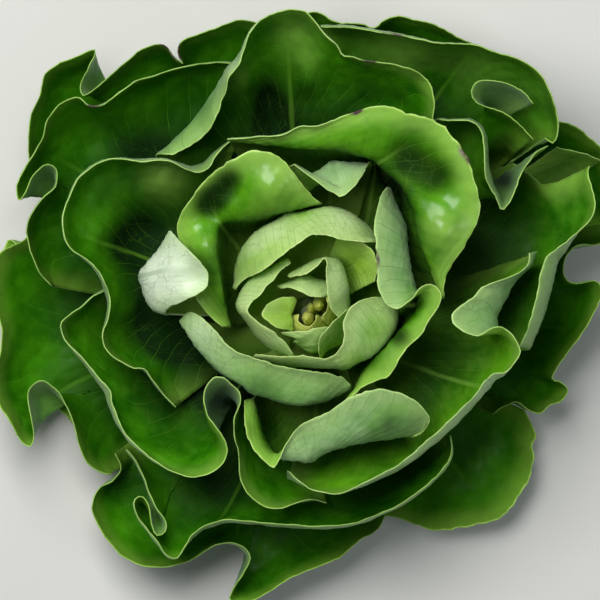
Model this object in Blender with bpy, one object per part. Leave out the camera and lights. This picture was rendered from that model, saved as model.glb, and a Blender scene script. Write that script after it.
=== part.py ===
"""Butterhead lettuce head, open, standing on its cut stem.

Every leaf is one thin solid of its own, and grows from a foot arc on a
short tapered stem.  A leaf is drawn by its free edge, read from above, with
the heights of that edge, and some also by the fold line where the blade
turns over.  Blade rows between foot and edge follow smooth curves, and the
waves of the edge die out down the blade.  Leaves are laid from the heart
outwards, and each bends clear of those inside it.
"""
import math

import bmesh
import bpy
import numpy as np
from mathutils import Vector
from mathutils.bvhtree import BVHTree

# Driving dimensions, in millimetres; the meshes are made in metres
MM = 0.001
STEM_FOOT_RADIUS = 15.0
STEM_TIP_RADIUS = 4.0
STEM_HEIGHT = 64.0
STEM_SIDES = 24
STEM_BEVEL, STEM_BEVEL_RISE = 0.8, 1.0
STEM_RINGS = (14.0, 28.0, 42.0, 54.0)
STEM_TOP, STEM_TOP_RADIUS = 62.8, 3.0
SHARP_DEGREES = 40
STEM_GAP = 0.5
TOP_FOOT = 58.0
FOOT_STEP = 1.35
FOOT_CLEAR = 2.5
FOOT_APART_DEGREES = 6
BLADE_EDGE = 0.9
BLADE_FOOT = 1.2
RIB_DEPTH = 2.0
RIB_WIDTH = 4.0
CLEAR = 2.6
HEART_CLEAR = 1.7
DEEPEST = 12.0
FLOOR_CLEAR = 1.4
STEM_COLOUR, LEAF_COLOUR = (0.62, 0.70, 0.42), (0.10, 0.26, 0.03)

# The waves of an edge are smoothed over this length to find the calm blade.  They
# start at a share of the way from foot to edge, and grow by a power of the rest.
CALM = 26.0
WAVE_START = 0.25
WAVE_POWER = 1.7
FINE_WAVE = 5.0

# Where a fold lies between foot and edge, how far its own line is smoothed, and how
# long the curves into it and out of it are drawn, as shares of their reach
FOLD_SHARE = 0.6
FOLD_WAVE_START = 0.8
FOLD_CALM = 6.0
BLADE_PULL, FOLD_PULL = 0.42, 0.36

# Steps on each stretch of a smooth line, and along values that are spread on one
LINE_STEPS, SPREAD_STEPS, SPREAD_LENGTH = 12, 240, 50.0

# Grid of a blade while it bends clear, and when it is meshed
BEND_CELL = 5.0
FEWEST_COLUMNS, MOST_COLUMNS, RIM_STEPS = 12, 64, 60
BEND_ROWS, BEND_ROUNDS, LAST_ROUNDS = 16, 16, 4
MESH_COLUMNS, MESH_ROWS = 110, 30
HEART_FACES, MID_FACES, OUTER_FACES = 64, 130, 205


def flow(points, count):
    """A smooth line through the points, with count + 1 even steps of length."""
    pts = np.array(points, float)
    pts = np.vstack([2 * pts[0] - pts[1], pts, 2 * pts[-1] - pts[-2]])
    line = []
    for p0, p1, p2, p3 in zip(pts, pts[1:], pts[2:], pts[3:]):
        k0, k1, k2 = (max(np.linalg.norm(b - a), 1e-6) ** 0.5
                      for a, b in ((p0, p1), (p1, p2), (p2, p3)))
        m1 = (p2 - p1) + k1 * ((p1 - p0) / k0 - (p2 - p0) / (k0 + k1))
        m2 = (p2 - p1) + k1 * ((p3 - p2) / k2 - (p3 - p1) / (k1 + k2))
        for t in np.linspace(0, 1, LINE_STEPS, endpoint=False):
            line.append((2 * t**3 - 3 * t**2 + 1) * p1 + (t**3 - 2 * t**2 + t) * m1
                        + (3 * t**2 - 2 * t**3) * p2 + (t**3 - t**2) * m2)
    line.append(pts[-2])
    line = np.array(line)
    length = np.concatenate([[0], np.cumsum(np.linalg.norm(np.diff(line, axis=0), axis=1))])
    at = np.linspace(0, length[-1], count + 1)
    return np.column_stack([np.interp(at, length, line[:, k]) for k in range(line.shape[1])])


def spread(values, count):
    """A few values spread evenly along a line, read smoothly at each step."""
    values = np.atleast_1d(np.array(values, float))
    if len(values) == 1:
        return np.full(count + 1, values[0])
    line = flow(np.column_stack([np.arange(len(values)) * SPREAD_LENGTH, values]), SPREAD_STEPS)
    return line[np.linspace(0, SPREAD_STEPS, count + 1).round().astype(int), 1]


def smooth(line, width):
    """The line smoothed over a width in millimetres, with its ends kept."""
    step = np.linalg.norm(np.diff(line[:, :3], axis=0), axis=1).mean()
    sigma = width / step
    if sigma < 0.4:
        return line.copy()
    reach = min(int(3 * sigma) + 1, len(line) - 1)
    before = 2 * line[0] - line[reach:0:-1]
    after = 2 * line[-1] - line[-2:-reach - 2:-1]
    long = np.vstack([before, line, after])
    kernel = np.exp(-0.5 * (np.arange(-reach, reach + 1) / sigma) ** 2)
    kernel /= kernel.sum()
    return np.column_stack([np.convolve(long[:, k], kernel, "valid") for k in range(line.shape[1])])


def level(xy):
    """Unit directions in plan."""
    size = np.maximum(np.linalg.norm(xy, axis=1, keepdims=True), 1e-6)
    return xy / size


def slant(out, degrees):
    """Directions that rise at these angles from the outward way."""
    turn = np.radians(degrees)[:, None]
    return np.hstack([out * np.cos(turn), np.sin(turn)])


def arc(start, start_way, end, end_way, pull, t):
    """Points at t on the cubic from start to end, with the given end ways."""
    reach = np.linalg.norm(end - start, axis=1, keepdims=True) * pull
    a, b = start + start_way * reach, end - end_way * reach
    s = 1 - t
    return s**3 * start + 3 * s * s * t * a + 3 * s * t * t * b + t**3 * end


def stem_radius(z):
    """Radius of the stem at a height."""
    return STEM_FOOT_RADIUS + (STEM_TIP_RADIUS - STEM_FOOT_RADIUS) * max(z, 0) / STEM_HEIGHT


def set_feet(leaves):
    """Feet go down the stem from the heart out, well clear where they overlap."""
    for k, spec in enumerate(leaves):
        spec["foot_z"] = TOP_FOOT - FOOT_STEP * k
        for other in leaves[:k]:
            apart = abs((spec["foot_turn"] - other["foot_turn"] + 180) % 360 - 180)
            if apart < (spec["foot_span"] + other["foot_span"]) / 2 + FOOT_APART_DEGREES:
                spec["foot_z"] = min(spec["foot_z"], other["foot_z"] - FOOT_CLEAR)


def blade(leaf, columns, rows):
    """Grid of points of a leaf before it bends, (rows + 1, columns + 1, 3)."""
    rim = np.column_stack([flow(leaf["rim"], columns), spread(leaf["heights"], columns)])
    calm = leaf.get("calm", CALM)
    lead = smooth(rim, calm)
    turn = np.radians(leaf["foot_turn"] + leaf["foot_span"] * np.linspace(-0.5, 0.5, columns + 1))
    radius = stem_radius(leaf["foot_z"]) + STEM_GAP + BLADE_FOOT * 0.7
    foot = np.column_stack([radius * np.cos(turn), radius * np.sin(turn),
                            np.full(columns + 1, leaf["foot_z"])])
    out = level(lead[:, :2])
    foot_out = level(foot[:, :2] * 0.6 + level(lead[:, :2] - foot[:, :2]) * radius * 0.4)
    lean = spread(leaf["lean"], columns)
    rise = slant(foot_out, np.full(columns + 1, leaf["rise"]))
    fold = None
    if "fold" in leaf:
        fold = np.column_stack([flow(leaf["fold"], columns), spread(leaf["fold_heights"], columns)])
        fold = smooth(fold, FOLD_CALM)
        upright = slant(out, np.full(columns + 1, 90.0))
    grid = []
    for v in np.linspace(0, 1, rows + 1):
        if fold is None:
            row = arc(foot, rise, lead, slant(out, lean), BLADE_PULL, v)
            start = WAVE_START
        else:
            if v < FOLD_SHARE:
                row = arc(foot, rise, fold, upright, BLADE_PULL, v / FOLD_SHARE)
            else:
                row = arc(fold, upright, lead, slant(out, lean), FOLD_PULL,
                          (v - FOLD_SHARE) / (1 - FOLD_SHARE))
            start = FOLD_SHARE * FOLD_WAVE_START
        share = max(0.0, (v - start) / (1 - start))
        if "unfold" in leaf:
            wave = smooth(rim, calm * (1 - share) ** leaf["unfold"]) - lead
        else:
            wave = smooth(rim, FINE_WAVE * (1 - share)) - lead
            wave *= share ** leaf.get("die", WAVE_POWER)
        grid.append(row + wave)
    return groove(np.array(grid))


def facing(grid):
    """Unit normals of a grid, on the leaf's underside."""
    across = np.gradient(grid, axis=1)
    along = np.gradient(grid, axis=0)
    normal = np.cross(across, along)
    return normal / np.maximum(np.linalg.norm(normal, axis=2, keepdims=True), 1e-9)


def groove(grid):
    """The midrib: a channel along the blade that fades towards the edge."""
    rows, columns = grid.shape[0] - 1, grid.shape[1] - 1
    column = int(round(0.5 * columns))
    away = np.linalg.norm(grid - grid[:, column:column + 1], axis=2)
    fade = (1 - np.linspace(0, 1, rows + 1) ** 2)[:, None]
    depth = RIB_DEPTH * fade * np.exp(-(away / (RIB_WIDTH * (0.6 + 0.8 * fade))) ** 2)
    depth[0] = 0
    return grid + facing(grid) * depth[..., None]


def triangles(rows, columns):
    """Triangles of a grid, each cell cut along the same diagonal."""
    faces = []
    for r in range(rows):
        for c in range(columns):
            a = r * (columns + 1) + c
            b = a + columns + 1
            faces += [(a, a + 1, b + 1), (a, b + 1, b)]
    return faces


def border(grid):
    """Points round the free edges of a blade, its foot left out."""
    return np.vstack([grid[1:, 0], grid[1:, -1], grid[-1, 1:-1],
                      (grid[-1, 1:] + grid[-1, :-1]) / 2])


def bend_clear(grid, inner, clear, loose):
    """Shifts that carry a blade, up to its loose top, clear of the leaves inside it."""
    rows, columns = grid.shape[0] - 1, grid.shape[1] - 1
    faces = triangles(rows, columns)
    shift = np.zeros_like(grid)
    firm = np.arange(rows + 1) <= loose * rows
    hold = np.clip(np.arange(rows + 1) / 4.0, 0, 1)[:, None, None] ** 1.5
    for round_no in range(BEND_ROUNDS):
        now = grid + shift
        push = np.zeros_like(grid)
        own = BVHTree.FromPolygons([Vector(p) for p in now.reshape(-1, 3)], faces)
        low, high = now.min(axis=(0, 1)) - clear, now.max(axis=(0, 1)) + clear
        for tree, tree_low, tree_high, edge in inner:
            if np.any(low > tree_high) or np.any(high < tree_low):
                continue
            near_by = np.all((now > tree_low - clear) & (now < tree_high + clear), axis=2)
            near_by &= firm[:, None]
            for r, c in zip(*np.nonzero(near_by)):
                p = Vector(now[r, c])
                near, normal, _, gap = tree.find_nearest(p, DEEPEST)
                if near is None:
                    continue
                side = (p - near).dot(normal)
                if abs(side) > 0.75 * gap:
                    move = normal * max(0.0, clear - side)
                elif gap < clear:
                    move = (p - near).normalized() * (clear - gap)
                else:
                    continue
                if move.length > np.linalg.norm(push[r, c]):
                    push[r, c] = move
            for q in edge[np.all((edge > low) & (edge < high), axis=1)]:
                near, normal, face, gap = own.find_nearest(Vector(q), DEEPEST / 2)
                if near is None:
                    continue
                side = (Vector(q) - near).dot(normal)
                if abs(side) > 0.75 * gap and side + clear > 0:
                    move = normal * (side + clear)
                    for corner in faces[face]:
                        r, c = divmod(corner, columns + 1)
                        if firm[r] and move.length > np.linalg.norm(push[r, c]):
                            push[r, c] = move
        push[..., 2] += np.maximum(FLOOR_CLEAR - (now[..., 2] + push[..., 2]), 0)
        if np.abs(push).max() < 0.05:
            break
        if round_no < BEND_ROUNDS - LAST_ROUNDS:
            size, soft = np.linalg.norm(push, axis=2, keepdims=True), eased(push, 2)
            larger = size > np.linalg.norm(soft, axis=2, keepdims=True)
            shift += np.where(larger, 0.5 * push + 0.5 * soft, soft) * hold
        else:
            shift += push * hold
    return shift


def eased(field, times):
    """A field of shifts evened out over neighbouring points."""
    for _ in range(times):
        wide = np.pad(field, ((1, 1), (1, 1), (0, 0)), mode="edge")
        field = (wide[:-2, 1:-1] + wide[2:, 1:-1] + wide[1:-1, :-2] + wide[1:-1, 2:]
                 + 2 * field) / 6
    return field


def finer(shift, rows, columns):
    """A shift read at every point of a finer grid."""
    old_rows, old_columns = shift.shape[0] - 1, shift.shape[1] - 1
    r = np.linspace(0, old_rows, rows + 1)
    c = np.linspace(0, old_columns, columns + 1)
    down = np.array([[np.interp(r, np.arange(old_rows + 1), shift[:, k, a])
                      for k in range(old_columns + 1)] for a in range(3)])
    return np.array([[np.interp(c, np.arange(old_columns + 1), down[a, :, k])
                      for k in range(rows + 1)] for a in range(3)]).transpose(1, 2, 0)


def material(name, colour):
    """A plain moist surface of one colour."""
    mat = bpy.data.materials.new(name)
    mat.use_nodes = True
    shader = mat.node_tree.nodes["Principled BSDF"]
    shader.inputs["Base Color"].default_value = (*colour, 1)
    shader.inputs["Roughness"].default_value = 0.45
    return mat


# Leaves from the heart outwards.  A rim is the free edge seen from above, in
# millimetres from the stem's axis, and runs anticlockwise.  Its heights, and its
# lean in degrees from the outward way, are spread evenly along it.  A fold is the
# line, with heights of its own, where a blade turns over on its way to the rim.
#   calm          width over which the waves are smoothed away lower down
#   die, unfold   how fast the waves of the edge die out, or open, down the blade
#   loose         share of the blade, from its foot, that bends clear of inner leaves
#   shield        share of the rim's length that later leaves bend clear of
#   foot_turn     where the foot sits round the stem, and how far it reaches, degrees
#   rise          angle at which the blade leaves the stem
LEAVES = []


def leaf(name, faces, rim, heights, lean, **more):
    LEAVES.append(dict(name=name, faces=faces, rim=rim, heights=heights, lean=lean, **more))


# Heart: small, pale, closed leaves round the growing tip
leaf("leaf_heart_bud", HEART_FACES,
     [(-4.5, -1), (-4.3, -4), (-2, -6.2), (1.2, -6.4), (3.4, -4.2), (3.8, -1.2)],
     [88, 92, 93, 92, 88], [125], calm=5, foot_turn=262, foot_span=104, rise=56)
leaf("leaf_heart_bud_east", HEART_FACES,
     [(4.5, -3), (7, -1), (9, 2.5), (8.6, 6.5), (5.6, 8.6), (2.2, 7.4)],
     [88, 92, 94, 92, 88], [130], calm=6, foot_turn=25, foot_span=84, rise=56)
leaf("leaf_heart_west", HEART_FACES,
     [(-6.4, 7), (-12, 6.6), (-18, 4.4), (-21, -0.6), (-17.4, -5.4), (-12, -7.8), (-7.4, -8.6)],
     [88, 94, 96, 96, 94, 88], [30], calm=9, foot_turn=180, foot_span=80, rise=56,
     fold=[(-5.6, 6), (-5.8, 3), (-5.8, -3), (-6, -7)], fold_heights=[84, 88, 88, 84])
leaf("leaf_heart_north", HEART_FACES,
     [(10.5, 8.5), (6, 7), (1, 7.1), (-3.5, 9.3), (-8.4, 10.8), (-13, 11)],
     [92, 99, 101, 99, 92], [150], calm=8, foot_turn=88, foot_span=80, rise=54,
     fold=[(11, 13), (4, 15.4), (-4, 14.6), (-9, 13.6), (-14, 11.6)], fold_heights=[82, 88, 88, 84])
leaf("leaf_heart_south", HEART_FACES,
     [(-5.4, -11.4), (-2.2, -9.2), (2, -7.6), (6, -7), (10.5, -6.6)],
     [94, 99, 99, 95], [150], calm=8, foot_turn=275, foot_span=80, rise=54,
     fold=[(-6.6, -13), (-4, -16.4), (1, -18.4), (7, -16.4), (12, -9.6)], fold_heights=[82, 86, 84])
leaf("leaf_heart_north_east", HEART_FACES,
     [(14, -2.5), (11, 1), (9.6, 6), (9, 12), (8.2, 18), (8.6, 22.8), (7.2, 24.6), (5, 22),
      (1, 18.8), (-4, 16.8), (-9, 16)],
     [95, 102, 103, 104, 102, 92], [135], calm=9, foot_turn=36, foot_span=60,
     rise=40, fold=[(19, -1), (19, 8), (18.5, 15), (15, 22), (8, 25.4), (0, 22.6), (-8, 17.4)],
     fold_heights=[84, 90, 92, 90, 84])
leaf("leaf_heart_green", HEART_FACES,
     [(31, 14), (32, 22), (29, 29), (22, 33), (14, 36)],
     [90, 98, 99, 92], [50], calm=12, foot_turn=45, foot_span=50, rise=42)
leaf("leaf_heart_loop", MID_FACES,
     [(-8, 22.6), (-12, 19.5), (-17, 13.6), (-21.5, 8.6), (-26, 4.2), (-28, 0.5), (-25.5, -2.5),
      (-20, -6.8), (-14, -10.8), (-10, -15), (-6.5, -19)],
     [95, 103, 105, 105, 104, 96], [140], calm=10, foot_turn=180, foot_span=104,
     rise=50, fold=[(-10, 24), (-19, 18.6), (-27, 15.6), (-32, 9), (-31.5, 1), (-28, -4),
                    (-24.5, -10), (-19, -17), (-9, -20)],
     fold_heights=[84, 92, 93, 92, 84])
leaf("leaf_heart_strip", HEART_FACES,
     [(4.8, -18.5), (5, -13), (8, -8.4), (13, -3.4), (17.6, 1.2)],
     [97, 104, 105, 100], [110], calm=8, foot_turn=320, foot_span=64, rise=50)
leaf("leaf_heart_funnel", MID_FACES,
     [(-24, -19.2), (-18, -19.9), (-11, -20.3), (-4, -20), (2, -20.8), (7.5, -21.6), (12.4, -19.6),
      (15.8, -15), (16.6, -10.5), (16.2, -5), (18, 0), (22, 4.2), (28, 6.4), (35, 6.6)],
     [94, 104, 106, 107, 108, 107, 98], [135], calm=13, foot_turn=300, foot_span=104,
     rise=48, fold=[(-24, -21), (-14, -24), (0, -25), (14, -25), (27, -22), (37, -14), (42, -5),
                    (41, 3)],
     fold_heights=[84, 92, 94, 92, 84])
leaf("leaf_heart_crown", MID_FACES,
     [(31, 31.6), (26, 30.6), (20.5, 31.2), (15, 32.8), (10, 34.4), (5, 35.4), (1.5, 35.2),
      (-3, 32.4), (-8, 28.8), (-13, 25), (-19, 20.2), (-24.5, 16.8), (-29.4, 14), (-32.4, 10)],
     [94, 106, 109, 109, 105, 90], [145], calm=16, foot_turn=90, foot_span=96,
     rise=40, fold=[(32, 34), (26, 41), (18, 47), (8, 48.5), (-3, 45), (-14, 42), (-24, 37.5),
                    (-30.6, 29), (-34, 20), (-33.4, 11)],
     fold_heights=[84, 94, 96, 90, 76])

# Ring of curled, glossy leaves round the heart
leaf("leaf_inner_north_west", OUTER_FACES,
     [(6.4, 48), (3, 51.6), (-0.6, 56), (-5, 61.6), (-9.4, 67), (-14.4, 71.4), (-20, 73.8),
      (-26, 74), (-31, 71.6), (-36.4, 68.8), (-42, 65), (-47, 60), (-51.6, 54.4), (-56, 48.4),
      (-59.6, 43), (-60.6, 38), (-58.6, 32), (-56, 24), (-54.6, 14), (-51.4, 5.4), (-46, -1),
      (-39.4, -7)],
     [98, 112, 117, 117, 114, 103, 92, 88, 84], [30, 25, 20, 25, 50, 60, 60],
     calm=20, foot_turn=150, foot_span=84, rise=40,
     fold=[(6.4, 46.8), (0, 46.2), (-8, 46), (-17, 45), (-26, 42), (-34, 41.8), (-39.6, 42),
           (-42, 34), (-42, 25), (-40.4, 16), (-39, 8), (-37.6, 0), (-36, -7)],
     fold_heights=[94, 102, 102, 101, 98, 92, 80])
leaf("leaf_inner_north_pale", MID_FACES,
     [(27.5, 68), (24.5, 62), (19.5, 56), (14, 51.4), (9, 49.6), (3, 51.4), (-5, 55)],
     [96, 107, 109, 104, 92, 84], [150], calm=18, foot_turn=72, foot_span=60, rise=44,
     fold=[(29.4, 67.6), (24, 69.4), (14, 68.4), (4, 65), (-5, 60)], fold_heights=[86, 92, 92, 86])
leaf("leaf_inner_south_west", MID_FACES,
     [(-54, 0), (-49.5, -2), (-45.5, -5.6), (-42, -9), (-39, -12.6), (-36, -15.8),
      (-31.5, -18.8), (-26, -20.6), (-18, -23.2), (-8, -25.9), (2, -27.1), (10, -28.4),
      (15.4, -30), (19.4, -33.6)],
     [88, 103, 106, 107, 102, 88], [130], calm=20, foot_turn=245, foot_span=84,
     rise=44, fold=[(-59, -4), (-54, -12), (-48.6, -20), (-40, -27.8), (-27, -34.8), (-12, -42),
                    (2, -43), (12, -40), (19, -35.4)],
     fold_heights=[82, 90, 92, 90, 82])
leaf("leaf_inner_east", OUTER_FACES,
     [(17.5, -41), (21.5, -37.6), (26.5, -33.8), (32, -31.2), (37, -29.8), (39.6, -27),
      (41.4, -23), (44.5, -18), (48.5, -13.6), (52.5, -9.4), (54.8, -5), (57.2, -1), (60, 3),
      (60.8, 7), (59.4, 11), (56, 12.8), (52, 11), (47.5, 7), (43.4, 2.8), (40, 1.4), (36.4, 3.6),
      (33.6, 8), (32.1, 13), (31.6, 20), (31.2, 28), (30.9, 35), (30.6, 41), (31.6, 47.5),
      (33.2, 53), (35.6, 56.4)],
     [88, 98, 102, 104, 106, 109, 110, 107, 92], [50, 45, 60, 130, 150, 150, 140],
     calm=17, foot_turn=5, foot_span=84, rise=40,
     fold=[(21, -37), (25.5, -28), (30, -20.5), (34.5, -15), (40, -10), (46.5, -5), (50.5, 2),
           (49.5, 10), (47.5, 18), (46, 28), (45.5, 38), (43, 46), (39.6, 52)],
     fold_heights=[84, 90, 92, 92, 92, 92, 88, 76])
leaf("leaf_inner_south", OUTER_FACES,
     [(-29.5, -41), (-29.2, -48), (-28.4, -55), (-26, -61.5), (-22, -66.4), (-18.6, -70),
      (-16, -72), (-14, -69.6), (-12, -64.4), (-8.4, -57.8), (-4, -52.6), (2, -48.6), (10, -45),
      (18, -40.4), (24, -37), (31, -35.6), (38, -36.2), (46, -39), (52.5, -43.6), (55.8, -49),
      (53.4, -54), (48, -57)],
     [84, 96, 98, 98, 104, 107, 106, 102, 92], [60, 60, 100, 150, 150, 150, 130],
     calm=20, foot_turn=285, foot_span=80, rise=44,
     fold=[(-25.5, -40), (-23.5, -48), (-20.5, -57), (-16, -66), (-9, -69.4), (2, -67), (14, -62.6),
           (26, -59.6), (37, -58.6), (45, -56.6)],
     fold_heights=[80, 86, 88, 88, 90, 88, 82])
leaf("leaf_inner_west_pale", MID_FACES,
     [(-62.6, 37), (-58.6, 32.4), (-53.6, 27.4), (-49.4, 22.8), (-46.4, 18), (-46, 13), (-48.6, 9.6),
      (-54, 6.6), (-60, 3.4)],
     [98, 109, 112, 110, 100], [150], calm=14, foot_turn=168, foot_span=44, rise=40, loose=0.7,
     fold=[(-64, 36), (-67, 29), (-74, 24), (-77.4, 15), (-75.4, 6), (-71, -1), (-66, -1)],
     fold_heights=[92, 94, 90, 86, 88])
leaf("leaf_inner_north_east", OUTER_FACES,
     [(62.5, 6), (62.4, 13), (65, 20), (69.4, 27), (74.6, 35), (77.6, 41), (78.8, 48), (78, 54),
      (75.8, 61.6), (72.6, 70), (68, 78), (62, 85), (55, 88.6), (47, 90.4), (39, 93.4),
      (31, 94), (23, 91.8), (14, 89), (5, 85.4), (-4, 84.6), (-12, 81), (-22, 80.2), (-30, 79.6),
      (-37, 79)],
     [94, 104, 110, 114, 117, 118, 118, 116, 106], [10, 0, 10, 20, 40, 90, 100],
     calm=24, foot_turn=62, foot_span=80, rise=42,
     fold=[(60.5, 8), (58.4, 16), (55, 24.5), (51.6, 32), (49, 41), (47.6, 51), (43, 57.6),
           (35, 63), (28, 69), (20, 73.4), (8, 75), (-6, 75.2), (-20, 77.4), (-36, 78.4)],
     fold_heights=[90, 100, 104, 104, 106, 106, 98])
leaf("leaf_inner_south_east", OUTER_FACES,
     [(-9.4, -72.6), (-6.6, -75.6), (-2.6, -79.2), (2, -82), (8, -83.2), (15, -83.2), (22, -80.4),
      (29, -76.8), (37, -72.8), (45, -67.6), (53, -60.8), (61, -53.6), (69, -46), (75.6, -39),
      (81, -32), (85, -28.2), (89.6, -28), (94, -24), (97.4, -18.6), (95.6, -13), (91.4, -8),
      (86.4, -6.6), (81.6, -9), (76.4, -11), (71.4, -9.2), (67, -6), (65, -2.6), (67.4, 0.8),
      (72, 4.4), (76, 7), (79, 11), (84.6, 13.4), (91, 15.6), (97.6, 18.4), (101, 21.6),
      (101.4, 27)],
     [82, 90, 92, 92, 94, 98, 102, 106, 108, 104, 92], [125, 125, 125, 120, 125, 145, 120],
     calm=30, die=5.0, foot_turn=322, foot_span=84, rise=34, loose=0.8)

# Hooded leaves that cup round the ring
leaf("leaf_mid_west", OUTER_FACES,
     [(-35, 70), (-38, 74), (-42, 72), (-46, 66), (-51, 64.2), (-56, 65.6), (-61, 68.2),
      (-68, 69.4), (-77, 69), (-86, 70.4), (-95, 69), (-101, 65.2), (-106, 60), (-109.6, 52),
      (-112.4, 44), (-111.8, 35), (-108.4, 28.6), (-102, 24.6), (-97.6, 20.4), (-93, 13),
      (-90.8, 5), (-92.4, -4), (-94.6, -11), (-92.4, -17.6), (-87, -22.4), (-81, -25.6),
      (-75, -26.4), (-71.4, -31.6), (-67.6, -36.6), (-61, -44)],
     [84, 94, 98, 100, 98, 94, 88, 84, 78], [110, 110, 105, 100, 100, 100],
     calm=26, foot_turn=168, foot_span=84, rise=36)
leaf("leaf_mid_south_west", OUTER_FACES,
     [(-91, 11), (-94.6, 9.4), (-99, 7.4), (-104, 2.6), (-110, -1.4), (-113.8, -5), (-112.4, -12),
      (-108, -17), (-102, -23), (-96, -30.6), (-91, -37), (-89.8, -43), (-86.8, -51.4),
      (-80.6, -60), (-73, -66.6), (-66, -71.6), (-58, -75), (-51, -76), (-44, -73.8),
      (-39, -69.4), (-36.9, -64), (-38.6, -58), (-43, -52), (-46.6, -45.6), (-47.8, -38),
      (-45.6, -32), (-41.4, -28.6), (-36.6, -28.2), (-32.6, -31.4), (-30.4, -36.4), (-30.6, -42),
      (-33.4, -49), (-34, -56), (-32.4, -62.6), (-31.8, -70), (-31, -77.6), (-27.4, -84.4),
      (-20.6, -89.6), (-13, -90.6), (-5, -88), (2, -86.4), (8.6, -88)],
     [70, 80, 82, 82, 80, 84, 92, 94, 90, 80, 74, 66], [110, 115, 115, 105, 100, 100, 100],
     calm=40, foot_turn=222, foot_span=84, rise=30, die=1.9)
leaf("leaf_mid_north", OUTER_FACES,
     [(57.4, 88), (58, 96), (56.4, 103.4), (52, 109), (45, 112), (36, 114), (27, 115),
      (20, 116.6), (15.6, 117.4), (13.4, 121.6), (8, 126.4), (3, 133), (-1.6, 137.4),
      (-8, 138), (-16, 136), (-22.6, 132.6), (-27, 127), (-29.2, 120), (-31.4, 113),
      (-36, 107.6), (-38, 100), (-41.4, 91.4), (-46, 83), (-53, 77), (-60, 72), (-66, 67)],
     [96, 108, 114, 120, 124, 122, 112, 100, 88], [70, 80, 90, 95, 110, 130, 130],
     calm=26, foot_turn=98, foot_span=80, rise=36)
leaf("leaf_mid_north_east", OUTER_FACES,
     [(110.6, 76.4), (105.4, 74), (102, 69.4), (98, 64), (95.4, 56.4), (91.8, 49.6), (89, 46.6),
      (86.4, 52), (82.8, 58), (80.8, 66), (80.8, 75), (79.4, 83), (75, 87.4), (68, 87.6),
      (61, 86), (55, 82)],
     [76, 84, 88, 92, 98, 98, 98, 98, 84], [85, 90, 95, 105, 118, 115, 100], calm=30,
     foot_turn=60, foot_span=50, rise=34)
leaf("leaf_mid_east", OUTER_FACES,
     [(97.4, -16), (100.6, -8.4), (103, -0.6), (105, 8), (107, 18), (109.6, 25), (114, 28.8),
      (120, 33.4), (126, 38.6), (130.6, 44), (132.2, 50), (130.6, 57), (128.8, 63), (129.4, 67)],
     [76, 88, 92, 92, 90, 88, 84], [125, 128, 120, 95, 70], calm=26, foot_turn=-4,
     foot_span=52, rise=32, loose=0.7)
leaf("leaf_mid_east_back", MID_FACES,
     [(136.4, 70), (129, 73.2), (122, 74.6), (115, 76)],
     [40, 50, 56, 54], [80], calm=30, die=2.2, foot_turn=26, foot_span=12, rise=6)

# Outer leaves, darker and more open
leaf("leaf_outer_south_west", OUTER_FACES,
     [(-84, -63.6), (-80, -68.4), (-76.4, -75), (-73.4, -83), (-70, -91), (-65.4, -97.4),
      (-66.6, -102), (-70, -103), (-72, -98), (-73.4, -90), (-77, -85), (-80.4, -87.4),
      (-79, -94), (-74, -100.6), (-69.6, -106), (-65, -112.4), (-61, -113.8), (-57, -108.6),
      (-52.6, -102), (-46, -98), (-38, -96), (-24, -97), (-8, -98.2), (6, -98.8), (20, -97.6),
      (32, -93.4), (44, -87.6), (53, -81), (61, -74), (66, -66), (65.4, -57)],
     [56, 62, 64, 66, 66, 68, 70, 72, 66], [100, 100, 100, 105, 105, 105], calm=40, unfold=1.0,
     foot_turn=258, foot_span=84, rise=20)
leaf("leaf_outer_east_curl", MID_FACES,
     [(103.6, 79.4), (96.4, 87), (90, 91.6), (83, 94), (77.4, 96.4), (75, 100.6),
      (77.4, 105.6), (84, 106.2), (92, 104.8), (99, 101), (103.2, 95.6)],
     [84, 86, 88, 90, 91, 91, 90], [90], calm=36, die=3.0, foot_turn=62, foot_span=44, rise=26,
     loose=0.8, shield=0.5)
leaf("leaf_outer_east_long", OUTER_FACES,
     [(109, 80), (112.6, 77.6), (115, 84), (113.8, 93), (110.4, 102.6), (104.6, 111),
      (96, 116.2), (86, 119.4), (76, 123), (67, 123.4), (60, 123.4), (53, 125), (43, 127.2),
      (32, 128.8), (20, 131), (6, 131.6)],
     [90, 93, 94, 94, 92, 88, 84, 78, 70], [100, 95, 95, 95, 100, 100], calm=24,
     foot_turn=68, foot_span=60, rise=16, loose=0.6)
leaf("leaf_outer_north_west", OUTER_FACES,
     [(-30, 114), (-38, 115.2), (-48, 114.6), (-60, 112.6), (-70, 109), (-79, 106.4),
      (-87, 101), (-95, 95.4), (-101, 95), (-105.6, 98.8), (-111, 98), (-116, 94.6),
      (-120.6, 88), (-122.6, 80.4), (-127, 72.6), (-131.6, 65), (-134.8, 57), (-133.4, 51),
      (-130.8, 54), (-127, 62), (-121, 67.8), (-116.6, 66.6), (-116.2, 59), (-121.6, 53),
      (-127, 46.6), (-130, 38), (-128.4, 29), (-124.6, 19), (-118.6, 12)],
     [56, 70, 76, 76, 72, 70, 74, 70, 62, 52], [100, 95, 90, 90, 95, 95], calm=28,
     foot_turn=145, foot_span=80, rise=22)
leaf("leaf_outer_south", OUTER_FACES,
     [(-90, -66), (-87, -73), (-90.6, -78.4), (-97, -81.6), (-100.4, -89), (-98.4, -98),
      (-92, -108), (-84, -115), (-74, -118.6), (-63, -118.2), (-54, -115), (-45, -109.4),
      (-37, -107.2), (-30.4, -109), (-27, -114), (-29.6, -121), (-34, -127.4), (-36.6, -134),
      (-30, -135.4), (-20, -131.4), (-10, -124.6), (-1, -120.6), (8, -117.4), (17, -113),
      (24, -106.4), (32, -102), (36, -95)],
     [24, 32, 34, 36, 40, 38, 34, 34, 30, 24], [80, 80, 85, 90, 80, 70], calm=26,
     foot_turn=250, foot_span=74, rise=10)
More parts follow.
